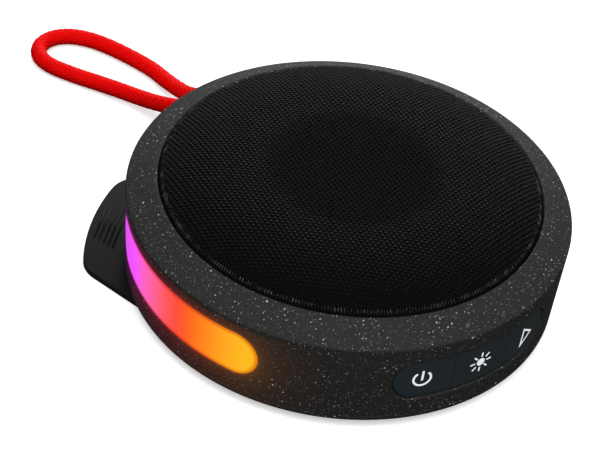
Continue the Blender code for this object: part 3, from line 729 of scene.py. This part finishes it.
def window(azimuth, z_middle, half_length, half_height, inner, gap=0.12, chamfer=0.35):
    """A cutter for a window with a chamfered mouth."""
    rims = [(-gap, at(inner)), (-gap, under(chamfer)), (-gap - chamfer, under(0.0)),
            (-gap - chamfer - 2.0, under(-2.0))]
    return wrapped_strip("window", azimuth, z_middle, half_length, half_height, rims, SPECKLED_SHELL)


print("strip helper ready")

# %% [markdown]
# ## Front housing
# The ring, the wall and the shelf under the grille are one moulding. The crease between ring and
# wall has a small radius that catches the light. The windows for lights, keys, port and bushing
# are cut with chamfered mouths.

# %% Front shell
Z_SEAM = 4.3
SEAM_GAP = 0.04
R_CLOTH = 47.4
Z_CLOTH = 30.5
KEYS_Z = 15.3
KEYS_HALF_HEIGHT = 6.0
KEYS_HALF_LENGTH = 23.5
PORT_AZIMUTH = 60.0
PORT_Z = 15.0
PORT_HALF_LENGTH = 8.0
PORT_HALF_HEIGHT = 4.5
BUSHING_Z = 14.5
BUSHING_HALF_LENGTH = 7.7
BUSHING_HALF_HEIGHT = 3.9
BUSHING_PLAY = 0.05
R_DRIVER_HOLE = 21.7
R_UNDER_RING = 48.8
R_WALL_INSIDE = 52.2
Z_SHELF = 26.0
Z_SHELF_UNDERSIDE = 23.6
R_BEHIND_LIGHTS = 49.6
R_BEHIND_WINDOWS = 49.0


def make_front_shell():
    z_low = Z_SEAM + SEAM_GAP
    profile = with_arcs([
        (wall_radius(z_low), z_low, 0.1), (R_EDGE, Z_EDGE, 0.8), (R_CLOTH, Z_CLOTH, 0.45),
        (R_CLOTH, Z_SHELF), (R_DRIVER_HOLE, Z_SHELF), (R_DRIVER_HOLE, Z_SHELF_UNDERSIDE),
        (R_UNDER_RING, Z_SHELF_UNDERSIDE), (R_UNDER_RING, 27.6), (R_WALL_INSIDE, 25.6),
        (R_WALL_INSIDE, z_low)])
    item = turned_piece("front_shell", profile, SPECKLED_SHELL)
    cutters = [window(azimuth, LIGHT_Z, LIGHT_HALF_LENGTH, LIGHT_HALF_HEIGHT, R_BEHIND_LIGHTS, 0.03, 0.05)
               for azimuth in (0.0, 180.0)]
    for azimuth, z_middle, half_length, half_height in (
            (270.0, KEYS_Z, KEYS_HALF_LENGTH, KEYS_HALF_HEIGHT),
            (PORT_AZIMUTH, PORT_Z, PORT_HALF_LENGTH, PORT_HALF_HEIGHT),
            (90.0, BUSHING_Z, BUSHING_HALF_LENGTH + BUSHING_PLAY, BUSHING_HALF_HEIGHT + BUSHING_PLAY)):
        cutters.append(window(azimuth, z_middle, half_length, half_height, R_BEHIND_WINDOWS))
    cut(item, cutters)
    return item


front_shell = make_front_shell()
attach(front_shell, "housing")
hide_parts("front_housing")
print("front shell:", len(front_shell.data.polygons), "faces")


# %% Rear shell
R_SCREWS = 44.5
SCREW_AZIMUTHS = (43.0, 137.0, 223.0, 317.0)
SCREW_HOLE = ((0.0, 7.0), (1.5, 7.0), (1.5, 11.0), (0.0, 11.0))


def make_rear_shell():
    z_high = Z_SEAM - SEAM_GAP
    profile = with_arcs([
        (48.0, Z_BOTTOM, 0.5), (R_BOTTOM, Z_BOTTOM, 0.9), (wall_radius(z_high), z_high, 0.1), (51.9, z_high),
        (51.9, 6.0), (49.8, 6.0), (49.8, 10.0), (9.0, 10.0), (9.0, 11.0), (6.6, 11.0), (6.6, 9.4),
        (4.3, 9.4), (4.3, 8.2), (48.0, 8.2)])
    item = turned_piece("rear_shell", profile, SPECKLED_SHELL)
    places = [Matrix.Translation(polar(R_SCREWS, azimuth)) for azimuth in SCREW_AZIMUTHS]
    cut(item, [turned_piece("hole", SCREW_HOLE, SPECKLED_SHELL, 24, place) for place in places])
    return item


rear_shell = make_rear_shell()
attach(rear_shell, "housing")
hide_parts("rear_cover")
print("rear shell:", len(rear_shell.data.polygons), "faces")

# %% [markdown]
# ## Light bars and keys
# The lens is nearly flush with the wall, with a softly rounded rim. The keys are one strip of
# silicone, cut where the three keys meet, because each is pressed on its own.

# %% Lenses
for side, azimuth in (("left", 180.0), ("right", 0.0)):
    lens = wrapped_strip(f"{side}_lens", azimuth, LIGHT_Z, LIGHT_HALF_LENGTH, LIGHT_HALF_HEIGHT, [
        (0.0, at(51.4)), (0.0, under(0.20)), (0.05, under(0.10)), (0.20, under(0.04)), (0.6, under(0.01)),
        (1.2, under(0.0))], LIT_LENS)
    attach(lens, "housing")
    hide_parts(f"light_lens_{side}")
    print(lens.name, len(lens.data.polygons), "faces")

# %% Keys
KEY_STEP = 16.0
KEY_JOINT = 0.08
KEY_RECESS = 0.25


def keep_between(item, start, end):
    """Keeps the part of a wrapped strip between two azimuths, and closes its ends."""
    shell = bmesh.new()
    shell.from_mesh(item.data)
    for azimuth, side in ((start, -1.0), (end, 1.0)):
        if azimuth is None:
            continue
        outward = polar(side, azimuth + 90.0)
        everything = list(shell.verts) + list(shell.edges) + list(shell.faces)
        bmesh.ops.bisect_plane(shell, geom=everything, plane_co=(0, 0, 0), plane_no=outward, clear_outer=True)
        bmesh.ops.holes_fill(shell, edges=[edge for edge in shell.edges if edge.is_boundary])
    bmesh.ops.recalc_face_normals(shell, faces=shell.faces)
    shell.to_mesh(item.data)
    shell.free()
    item.data.shade_smooth()
    item.data.set_sharp_from_angle(angle=math.radians(35.0))


key_azimuths = {}
for index, name in enumerate(("power", "light", "play")):
    key = wrapped_strip(f"{name}_pad", 270.0, KEYS_Z, KEYS_HALF_LENGTH, KEYS_HALF_HEIGHT, [
        (0.0, at(51.5)), (0.0, under(0.75)), (0.08, under(0.48)), (0.26, under(0.31)),
        (0.5, under(KEY_RECESS)), (1.2, under(KEY_RECESS))], KEY_SILICONE)
    half_turn = math.degrees((KEY_STEP / 2.0 - KEY_JOINT) / wall_radius(KEYS_Z))
    key_azimuths[name] = 270.0 + math.degrees(KEY_STEP * (index - 1) / wall_radius(KEYS_Z))
    keep_between(key, None if name == "power" else key_azimuths[name] - half_turn,
                 None if name == "play" else key_azimuths[name] + half_turn)
    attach(key, f"{name}_key")
    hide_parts(f"key_{name}")
    print(key.name, "at azimuth", round(key_azimuths[name], 2), len(key.data.polygons), "faces")

# %% [markdown]
# ## Symbols on the keys
# Each symbol is drawn flat, in millimetres to the right and up, and then wrapped onto its key as a
# film of print. Rings, bars and outlines all come from one helper for strokes.

# %% Symbol shapes
STROKE = 0.54
PRINT_HEIGHT = 0.05


def stroke(path, width, closed=False):
    """Quads along a path of flat points, with square ends."""
    path = [Vector(p) for p in path]
    count = len(path)
    points = []
    for index, point in enumerate(path):
        before = path[index - 1] if index or closed else point * 2 - path[index + 1]
        after = path[(index + 1) % count] if index < count - 1 or closed else point * 2 - path[index - 1]
        first = (point - before).normalized()
        second = (after - point).normalized()
        middle = (first + second).normalized()
        across = Vector((-middle.y, middle.x)) * (width / 2.0 / max(0.35, middle.dot(first)))
        points += [point + across, point - across]
    faces = [[2 * i, 2 * i + 1, 2 * i + 3, 2 * i + 2] for i in range(count - 1)]
    if closed:
        faces.append([2 * count - 2, 2 * count - 1, 1, 0])
    return points, faces


def disc(radius, steps=24):
    points = [Vector((0.0, 0.0))] + [Vector(p) for p in arc_path(radius, 0.0, 360.0, steps)[:-1]]
    return points, [[0, 1 + i, 1 + (i + 1) % steps] for i in range(steps)]


def power_symbol():
    ring = stroke(arc_path(2.2, 90.0 + 38.0, 450.0 - 38.0, 40), STROKE)
    bar = stroke([(0.0, 2.55), (0.0, 1.0), (0.0, -0.55)], STROKE)
    return [ring, bar]


def light_symbol():
    rays = []
    for index in range(8):
        direction = polar(1.0, 45.0 * index).xy
        rays.append(stroke([direction * 1.75, direction * 2.4, direction * 3.1], 0.42))
    return rays + [disc(1.15)]


def play_symbol():
    corners = [Vector(p) for p in ((-1.35, 2.7), (2.3, 0.0), (-1.35, -2.7))]
    path = []
    for index in range(3):
        after = corners[(index + 1) % 3]
        path += [corners[index].lerp(after, share) for share in (0.0, 0.25, 0.5, 0.75)]
    return [stroke(path, 0.5, closed=True)]


print("symbols: power, light, play")


# %% Wrapped symbols
def wrap_print(name, shapes, azimuth, z_middle, body):
    """Flat shapes as one thin film of print on the keys' surface."""
    points = []
    faces = []
    for flat, flat_faces in shapes:
        base = len(points)
        size = len(flat)
        for depth in (KEY_RECESS + 0.02, KEY_RECESS - PRINT_HEIGHT):
            for point in flat:
                z = z_middle + point.y
                angle = azimuth + math.degrees(point.x / wall_radius(KEYS_Z))
                points.append(polar(wall_radius(z) - depth, angle, z))
        edges = {}
        for face in flat_faces:
            faces.append([base + size + corner for corner in face])
            faces.append([base + corner for corner in face[::-1]])
            for a, b in zip(face, face[1:] + face[:1]):
                edges[(a, b)] = True
        for a, b in edges:
            if (b, a) not in edges:
                faces.append([base + a, base + b, base + size + b, base + size + a])
    item = link_mesh(name, points, faces, WHITE_PRINT_PAINTED_GLOW)
    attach(item, body)
    return item


# Each row: name, drawing, azimuth, height on the wall, and the body that carries it.
SYMBOLS = (("power_print", power_symbol, 252.9, 15.62, "power_key"),
           ("light_print", light_symbol, 269.85, 15.5, "light_key"),
           ("play_print", play_symbol, 286.75, 14.95, "play_key"))
for name, draw, azimuth, z_middle, body in SYMBOLS:
    symbol = wrap_print(name, draw(), azimuth, z_middle, body)
    print(symbol.name, len(symbol.data.polygons), "faces")

# %% [markdown]
# ## Cloth grille
# The grille is black cloth stretched over a domed plate and rolled down at its edge. Three pieces
# make it: a dark ground sheet, thousands of raised knots that stand in slanted rows, and the ends
# of threads that show in the narrow gap along the ring. Knots and thread ends repeat by a rule,
# so Geometry Nodes place them.

# %% Ground of the cloth
DOME_RISE = 5.8
DOME_POWER = 4.7
CLOTH_THICK = 0.6
CLOTH_SINK = 0.16
INSIDE_SCALE = 0.982
R_DOME_END = 46.0
DOME_STEPS = 22


def dome_height(radius):
    """Height of the cloth at a radius."""
    return Z_CLOTH + DOME_RISE * (1.0 - (radius / R_CLOTH) ** DOME_POWER)


def make_cloth_ground():
    radii = [R_DOME_END * math.sin(math.pi / 2.0 * step / DOME_STEPS) for step in range(DOME_STEPS + 1)]
    outside = [(r, dome_height(r) - CLOTH_SINK) for r in radii]
    inside = [(r * INSIDE_SCALE, dome_height(r * INSIDE_SCALE) - CLOTH_THICK) for r in reversed(radii)]
    roll = [(46.5, 30.75), (46.85, 30.25), (47.05, 29.6), (47.1, 28.9), (47.1, 26.3), (46.5, 26.3),
            (46.5, 29.3), (46.1, 30.1)]
    return turned_piece("cloth_ground", outside + roll + inside, CLOTH_GROUND, smooth_angle=60.0)


cloth_ground_piece = make_cloth_ground()
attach(cloth_ground_piece, "housing")
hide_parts("grille_cloth")
print("cloth ground:", len(cloth_ground_piece.data.polygons), "faces")


# %% Geometry Nodes helper
class Shaper(Graph):
    """A Geometry Nodes tree being made, with named inputs, run once and baked to a plain mesh."""

    def __init__(self, name, sizes):
        tree = bpy.data.node_groups.new(name, "GeometryNodeTree")
        tree.interface.new_socket("Geometry", in_out="OUTPUT", socket_type="NodeSocketGeometry")
        super().__init__(tree)
        self.sizes = sizes
        self.identifiers = {}
        for label, value in sizes.items():
            kind = "NodeSocketInt" if isinstance(value, int) else "NodeSocketFloat"
            socket = tree.interface.new_socket(label, in_out="INPUT", socket_type=kind)
            self.identifiers[label] = socket.identifier
        self.entry = tree.nodes.new("NodeGroupInput")

    def size(self, label):
        """A named input of the tree."""
        return Value(self, self.entry.outputs[label])

    def join_xyz(self, x, y, z):
        return self.add("ShaderNodeCombineXYZ", {}, {0: x, 1: y, 2: z})

    def places(self):
        """The x, y and z of each point."""
        return self.split(self.add("GeometryNodeInputPosition"))

    def moved(self, geometry, x, y, z):
        """The same points at new places."""
        return self.add("GeometryNodeSetPosition", {},
                        {"Geometry": geometry, "Position": self.join_xyz(x, y, z)})

    def transformed(self, geometry, change, amount):
        """All of it with a Translation, a Rotation or a Scale."""
        return self.add("GeometryNodeTransform", {}, {"Geometry": geometry, change: amount})

    def random(self, low, high, seed):
        """A number for each copy, drawn between two others."""
        return self.add("FunctionNodeRandomValue", {"data_type": "FLOAT"},
                        {2: low, 3: high, "Seed": seed}, output=1)

    def upright(self, direction, **start):
        """The turn that brings Z into a direction."""
        return self.add("FunctionNodeAlignRotationToVector", {"axis": "Z"}, {"Vector": direction, **start})

    def copies(self, points, piece, **change):
        """One copy of a piece on each point."""
        return self.add("GeometryNodeInstanceOnPoints", {}, {"Points": points, "Instance": piece, **change})

    def run(self, geometry, material, name):
        """Ends the tree, runs it on an empty mesh and returns the piece."""
        solid = self.add("GeometryNodeRealizeInstances", {}, {0: geometry})
        smooth = self.add("GeometryNodeSetShadeSmooth", {}, {0: solid})
        painted = self.add("GeometryNodeSetMaterial", {}, {"Geometry": smooth})
        painted.socket.node.inputs["Material"].default_value = material
        exit_node = self.tree.nodes.new("NodeGroupOutput")
        self.tree.links.new(painted.socket, exit_node.inputs[0])
        item = bpy.data.objects.new(name, bpy.data.meshes.new(name))
        bpy.context.collection.objects.link(item)
        modifier = item.modifiers.new(name, "NODES")
        modifier.node_group = self.tree
        for label, value in self.sizes.items():
            modifier[self.identifiers[label]] = value
        bake(item, None)
        return item


print("geometry helper ready")

# %% Knots of the cloth
# Each row direction: the pitch, and its azimuth in degrees.
KNOT_ROW_A = (1.2115, 14.0)
KNOT_ROW_B = (1.1887, 81.1)
KNOT_SINK = 0.19
KNOT_SHAPE = (1.0, 0.86, 0.42)


def make_knots():
    shaper = Shaper("cloth_knots", {
        "Row A Pitch": KNOT_ROW_A[0] * MM, "Row A Angle": math.radians(KNOT_ROW_A[1]),
        "Row B Pitch": KNOT_ROW_B[0] * MM, "Row B Angle": math.radians(KNOT_ROW_B[1]),
        "Reach": 46.35 * MM, "Dome Radius": R_CLOTH * MM, "Dome Rise": DOME_RISE * MM,
        "Dome Power": DOME_POWER, "Foot": (Z_CLOTH - KNOT_SINK) * MM, "Knot Size": 0.50 * MM,
        "Knots Across": 111, "Seed": 7})
    across = shaper.size("Knots Across")
    dome_radius = shaper.size("Dome Radius")
    dome_rise = shaper.size("Dome Rise")
    dome_power = shaper.size("Dome Power")
    grid = shaper.add("GeometryNodeMeshGrid", {}, {
        "Size X": across - 1.0, "Size Y": across - 1.0, "Vertices X": across, "Vertices Y": across})
    a, b, _ = shaper.places()
    step_a = a * shaper.size("Row A Pitch")
    step_b = b * shaper.size("Row B Pitch")
    angle_a = shaper.size("Row A Angle")
    angle_b = shaper.size("Row B Angle")
    x = step_a * shaper.math("COSINE", angle_a) + step_b * shaper.math("COSINE", angle_b)
    y = step_a * shaper.math("SINE", angle_a) + step_b * shaper.math("SINE", angle_b)
    flat = shaper.moved(grid, x, y, 0.0)
    px, py, _ = shaper.places()
    radius = shaper.flat_distance(px, py)
    outside = shaper.math("GREATER_THAN", radius, shaper.size("Reach"))
    kept = shaper.add("GeometryNodeDeleteGeometry", {"domain": "POINT"},
                      {"Geometry": flat, "Selection": outside})
    height = shaper.size("Foot") + dome_rise * (1.0 - (radius / dome_radius) ** dome_power)
    lifted = shaper.moved(kept, px, py, height)
    reach = shaper.math("MAXIMUM", radius, 1e-6)
    slope = (reach / dome_radius) ** (dome_power - 1.0) * dome_power * dome_rise / dome_radius
    normal = shaper.join_xyz(px / reach * slope, py / reach * slope, 1.0)
    spin = shaper.random(math.radians(28.0), math.radians(68.0), shaper.size("Seed"))
    spun = shaper.add("FunctionNodeEulerToRotation", {}, {0: shaper.join_xyz(0.0, 0.0, spin)})
    knot = shaper.add("GeometryNodeMeshUVSphere", {}, {
        "Segments": 7, "Rings": 3, "Radius": shaper.size("Knot Size")})
    growth = shaper.random(0.90, 1.08, shaper.size("Seed") + 1.0)
    placed = shaper.copies(lifted, shaper.transformed(knot, "Scale", KNOT_SHAPE),
                           Rotation=shaper.upright(normal, Rotation=spun), Scale=growth)
    return shaper.run(placed, CLOTH_KNOT, "cloth_knots")


cloth_knots = make_knots()
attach(cloth_knots, "housing")
print("knots:", len(cloth_knots.data.polygons), "faces")


# %% Thread ends along the ring
def make_edge_threads():
    shaper = Shaper("edge_threads", {
        "Threads": 380, "Radius": 46.45 * MM, "Height": 30.78 * MM, "Thread Length": 0.62 * MM,
        "Thread Width": 0.17 * MM, "Fall": 1.1, "Seed": 3})
    circle = shaper.add("GeometryNodeMeshCircle", {}, {
        "Vertices": shaper.size("Threads"), "Radius": shaper.size("Radius")})
    raised = shaper.transformed(circle, "Translation", shaper.join_xyz(0.0, 0.0, shaper.size("Height")))
    x, y, _ = shaper.places()
    down = shaper.join_xyz(x / shaper.size("Radius"), y / shaper.size("Radius"), -shaper.size("Fall"))
    sway = shaper.add("FunctionNodeRandomValue", {"data_type": "FLOAT_VECTOR"}, {
        0: (-0.35, -0.35, -0.25), 1: (0.35, 0.35, 0.25), "Seed": shaper.size("Seed")})
    ball = shaper.add("GeometryNodeMeshUVSphere", {}, {"Segments": 6, "Rings": 5, "Radius": 1.0})
    width = shaper.size("Thread Width")
    thread = shaper.transformed(ball, "Scale", shaper.join_xyz(width, width, shaper.size("Thread Length")))
    growth = shaper.random(0.7, 1.15, shaper.size("Seed") + 1.0)
    placed = shaper.copies(raised, thread, Rotation=shaper.upright(shaper.vector("ADD", down, sway)),
                           Scale=growth)
    return shaper.run(placed, EDGE_THREAD_PAINTED_GLINT, "edge_threads")


edge_threads = make_edge_threads()
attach(edge_threads, "housing")
print("edge threads:", len(edge_threads.data.polygons), "faces")

# %% [markdown]
# ## Suction cup and its pull tab
# The cup is turned rubber with a thin flat lip. The tab is one tongue of the same rubber, with
# straight sides that leave the lip and a rounded end. Raised ribs on it help the fingers. They
# stand where a maker would usually mould a mark.

# %% Cup
R_LIP = 45.4
LIP_THICK = 1.6
R_TAB = 64.1
TAB_HALF_WIDTH = 18.0
TAB_ROUNDING = 8.0
TAB_ARC = 12.0
TAB_AZIMUTH = 132.5


def make_cup():
    underside = [(0.0, 3.2), (7.0, 3.12), (14.0, 2.9), (20.0, 2.6), (26.0, 2.2), (31.0, 1.65), (36.0, 1.0),
                 (40.6, 0.0), (R_LIP, 0.0, 0.4), (R_LIP, LIP_THICK, 0.5)]
    top = [(43.0, 1.9), (39.5, 2.8), (36.0, 3.8), (31.0, 4.85), (26.0, 5.7), (20.0, 6.55), (14.0, 7.2),
           (9.0, 7.6), (4.3, 7.6), (4.3, 6.4), (7.3, 6.4), (7.3, 4.6), (0.0, 4.6)]
    return turned_piece("cup_body", with_arcs(underside + top), CUP_RUBBER)


cup_body = make_cup()
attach(cup_body, "cup")
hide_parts("suction_cup")
print("cup:", len(cup_body.data.polygons), "faces")


# %% Pull tab
TAB_OVERLAP = 0.4
TAB_ROOT = 1.6
TAB_SKIN = 0.02
TAB_BEVEL = 0.42


def make_tab():
    corner_x = math.sqrt(R_TAB ** 2 - TAB_HALF_WIDTH ** 2)
    touch = math.atan2(TAB_HALF_WIDTH, corner_x) + math.acos(R_LIP / math.hypot(corner_x, TAB_HALF_WIDTH))
    side_x = (R_LIP - TAB_OVERLAP) * math.cos(touch)
    side_y = (R_LIP - TAB_OVERLAP) * math.sin(touch)
    half_turn = math.degrees(touch)
    outline = with_arcs([
        (side_x, -side_y), (corner_x, -TAB_HALF_WIDTH, TAB_ROUNDING), *arc_path(R_TAB, -TAB_ARC, TAB_ARC, 16),
        (corner_x, TAB_HALF_WIDTH, TAB_ROUNDING), (side_x, side_y),
        *arc_path(R_LIP - TAB_ROOT, half_turn, -half_turn, 24)])
    size = len(outline)
    points = [Vector((x, y, z)) for z in (TAB_SKIN, LIP_THICK - TAB_SKIN) for x, y in outline]
    turn = Matrix.Rotation(math.radians(TAB_AZIMUTH), 4, "Z")
    faces = [list(range(size)), list(range(size, 2 * size))]
    faces += [[i, (i + 1) % size, size + (i + 1) % size, size + i] for i in range(size)]
    item = link_mesh("pull_tab", [turn @ p for p in points], faces, CUP_RUBBER)
    bevel = item.modifiers.new("soft edge", "BEVEL")
    bevel.width = TAB_BEVEL * MM
    bevel.segments = 4
    bevel.limit_method = "ANGLE"
    bevel.angle_limit = math.radians(50.0)
    bake(item)
    return item


pull_tab = make_tab()
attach(pull_tab, "cup")
print("tab:", len(pull_tab.data.polygons), "faces")


# %% Ribs of the tab
def make_tab_ribs():
    shaper = Shaper("tab_ribs", {
        "Ribs": 5, "First Rib": 56.4 * MM, "Rib Pitch": 1.35 * MM, "Rib Length": 17.0 * MM,
        "Rib Radius": 0.36 * MM, "Top": (LIP_THICK - 0.14) * MM, "Tab Azimuth": math.radians(TAB_AZIMUTH)})
    bar = shaper.add("GeometryNodeMeshCylinder", {}, {
        "Vertices": 16, "Radius": shaper.size("Rib Radius"), "Depth": shaper.size("Rib Length")})
    ball = shaper.add("GeometryNodeMeshUVSphere", {}, {
        "Segments": 16, "Rings": 8, "Radius": shaper.size("Rib Radius")})
    half = shaper.size("Rib Length") * 0.5
    ends = [shaper.transformed(ball, "Translation", shaper.join_xyz(0.0, 0.0, half * way))
            for way in (1.0, -1.0)]
    joined = shaper.add("GeometryNodeJoinGeometry")
    for part in (bar, *ends):
        shaper.tree.links.new(part.socket, joined.socket.node.inputs[0])
    lying = shaper.transformed(joined, "Rotation", (math.pi / 2.0, 0.0, 0.0))
    row = shaper.add("GeometryNodeMeshLine", {}, {
        "Count": shaper.size("Ribs"), "Offset": shaper.join_xyz(shaper.size("Rib Pitch"), 0.0, 0.0),
        "Start Location": shaper.join_xyz(shaper.size("First Rib"), 0.0, shaper.size("Top"))})
    shorter = 1.0 - shaper.add("GeometryNodeInputIndex") / 4.0 * 0.30
    placed = shaper.copies(row, lying, Scale=shaper.join_xyz(1.0, shorter, 1.0))
    around = shaper.transformed(placed, "Rotation", shaper.join_xyz(0.0, 0.0, shaper.size("Tab Azimuth")))
    return shaper.run(around, CUP_RUBBER, "tab_ribs")


tab_ribs = make_tab_ribs()
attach(tab_ribs, "cup")
print("ribs:", len(tab_ribs.data.polygons), "faces")

# %% [markdown]
# ## Bushing and port door
# On the far side, a rubber bushing with two holes holds the cord where it leaves the wall, and a
# rubber door hinged at one end covers the charging socket. The door has a lip for a fingernail.


# %% Bushing
CORD_SPREAD = 3.6
CORD_HOLE = ((0.0, 48.0), (2.25, 48.0), (2.25, 55.0), (2.9, 56.0), (2.9, 58.0), (0.0, 58.0))


def make_bushing():
    item = wrapped_strip("cord_bushing", 90.0, BUSHING_Z, BUSHING_HALF_LENGTH, BUSHING_HALF_HEIGHT, [
        (0.0, at(50.6)), (0.0, under(0.0)), (0.06, under(-0.2)), (0.25, under(-0.36)), (0.6, under(-0.4)),
        (1.0, under(-0.4))], CUP_RUBBER)
    holes = []
    for x in (-CORD_SPREAD, CORD_SPREAD):
        place = Matrix.Translation((x, 0.0, BUSHING_Z)) @ Matrix.Rotation(math.radians(-90.0), 4, "X")
        holes.append(turned_piece("hole", CORD_HOLE, CUP_RUBBER, 48, place))
    cut(item, holes)
    return item


cord_bushing = make_bushing()
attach(cord_bushing, "housing")
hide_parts("strap_bushing")
print("bushing:", len(cord_bushing.data.polygons), "faces")


# %% Port door
NAIL = ((0.0, -2.0), (1.5, -2.0), (1.5, 0.5), (1.1, 1.6), (0.0, 2.0))


def make_port_door():
    item = wrapped_strip("port_door", PORT_AZIMUTH, PORT_Z, PORT_HALF_LENGTH, PORT_HALF_HEIGHT, [
        (0.0, at(53.2)), (0.0, under(0.35)), (0.08, under(0.15)), (0.28, under(0.04)), (0.6, under(0.0)),
        (1.0, under(0.0)), (1.15, under(0.14)), (1.3, under(0.14)), (1.45, under(0.0))], CUP_RUBBER)
    notch_azimuth = PORT_AZIMUTH + math.degrees((PORT_HALF_LENGTH + 0.3) / wall_radius(PORT_Z))
    out = polar(wall_radius(PORT_Z) + 0.9, notch_azimuth, PORT_Z)
    place = Matrix.Translation(out) @ polar(-1.0, notch_azimuth).to_track_quat("Z", "Y").to_matrix().to_4x4()
    cut(item, [turned_piece("hole", NAIL, CUP_RUBBER, 32, place)])
    return item


port_door = make_port_door()
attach(port_door, "port_flap")
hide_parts("port_cover")
print("port door:", len(port_door.data.polygons), "faces")

# %% [markdown]
# ## Pieces inside
# The driver, boards, battery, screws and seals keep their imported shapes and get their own
# finishes. Each finish is a mottled, slightly grained surface; metal is smoother and the cloth of
# the spider rougher.

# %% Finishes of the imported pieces
FINISHES = {
    "black_plastic": satin("black_plastic", (0.012, 0.012, 0.012), (0.026, 0.026, 0.026), 0.48),
    "soft_seal": satin("soft_seal", (0.030, 0.030, 0.031), (0.055, 0.055, 0.056), 0.75, 0.3, 0.02),
    "steel": satin("steel", (0.46, 0.46, 0.48), (0.62, 0.62, 0.62), 0.30, 0.12, 0.004, 0.5, 1.2, 1.0),
    "ferrite": satin("ferrite", (0.040, 0.039, 0.038), (0.085, 0.082, 0.080), 0.70, 0.15, 0.03),
    "copper": satin("copper", (0.60, 0.25, 0.12), (0.80, 0.42, 0.22), 0.34, 0.10, 0.02, 0.5, 0.4, 1.0),
    "paper_cone": satin("paper_cone", (0.020, 0.020, 0.022), (0.045, 0.045, 0.047), 0.78, 0.35, 0.03),
    "spider_cloth": satin("spider_cloth", (0.40, 0.28, 0.12), (0.62, 0.48, 0.25), 0.88, 0.20, 0.05),
    "circuit_board": satin("circuit_board", (0.006, 0.070, 0.028), (0.014, 0.140, 0.060), 0.40, 0.5, 0.01,
                           0.5, 1.1),
    "battery_wrap": satin("battery_wrap", (0.24, 0.27, 0.32), (0.34, 0.37, 0.42), 0.34, 1.5, 0.02, 0.5),
    "foam": satin("foam", (0.06, 0.06, 0.06), (0.13, 0.13, 0.13), 0.95, 0.35, 0.08),
    "lead_sheath": satin("lead_sheath", (0.28, 0.012, 0.012), (0.40, 0.025, 0.025), 0.42, 0.3, 0.006),
    "cup_rubber": CUP_RUBBER, "speckled_shell": SPECKLED_SHELL, "black_cloth": CLOTH_GROUND,
    "key_silicone": KEY_SILICONE, "lit_lens": LIT_LENS, "red_cord": RED_CORD,
}
for row in frame["record"]["subparts"]:
    node = frame["nodes"][row["node"]]
    finish = FINISHES[row["material_slot"]]
    for slot in node.material_slots:
        slot.material = finish
    if not node.material_slots:
        node.data.materials.append(finish)

# %% [markdown]
# ## Floor and light
# The speaker lies on a plain white floor. A low light from behind skims the cloth and shows its
# weave. A broad, soft sun high in front lights the ring more than the wall, which draws the line
# along the crease. The floor is kept out of the reflections, so that black pieces stay black.

# %% Floor
FLOOR_REACH = 4000.0
FLOOR_DEPTH = 0.05
floor_look = Look("pale_floor", roughness=0.9, specular=0.1)
floor_look.mottled(180.0, 2.0, (0.86, 0.86, 0.87), (0.89, 0.89, 0.90))
floor_look.glow((1.0, 1.0, 1.0), 0.5)
floor_mesh = bpy.data.meshes.new("floor")
floor_corners = [Vector((x * FLOOR_REACH, y * FLOOR_REACH, -FLOOR_DEPTH)) * MM
                 for x, y in ((-1, -1), (1, -1), (1, 1), (-1, 1))]
floor_mesh.from_pydata(floor_corners, [], [(0, 1, 2, 3)])
floor_mesh.materials.append(floor_look.material)
floor = bpy.data.objects.new("floor", floor_mesh)
bpy.context.collection.objects.link(floor)
floor.visible_diffuse = False
floor.visible_glossy = False
print("floor placed")


# %% Lights
BACK_TURN = 48.0
BACK_HEIGHT = 16.0
BACK_DISTANCE = 1.3
SUN_TURN = 238.0
SUN_HEIGHT = 66.0


def towards(turn, height):
    """The direction of a light, from its azimuth and its height in degrees."""
    return polar(math.cos(math.radians(height)), turn, math.sin(math.radians(height)))


back_data = bpy.data.lights.new("back_light", "AREA")
back_data.energy = 11.0
back_data.size = 0.5
back_light = bpy.data.objects.new("back_light", back_data)
back_light.location = RING_CENTRE + BACK_DISTANCE * towards(BACK_TURN, BACK_HEIGHT)
sun_data = bpy.data.lights.new("soft_sun", "SUN")
sun_data.energy = 2.4
sun_data.angle = math.radians(50.0)
soft_sun = bpy.data.objects.new("soft_sun", sun_data)
for light, turn, height in ((back_light, BACK_TURN, BACK_HEIGHT), (soft_sun, SUN_TURN, SUN_HEIGHT)):
    bpy.context.collection.objects.link(light)
    light.rotation_euler = (-towards(turn, height)).to_track_quat("-Z", "Y").to_euler()
world = bpy.data.worlds.new("pale_room")
world.use_nodes = True
world.node_tree.nodes["Background"].inputs["Color"].default_value = (1.0, 1.0, 1.0, 1.0)
world.node_tree.nodes["Background"].inputs["Strength"].default_value = 0.12
bpy.context.scene.world = world
bpy.context.scene.view_settings.view_transform = "Standard"
print("two lights and a pale room")
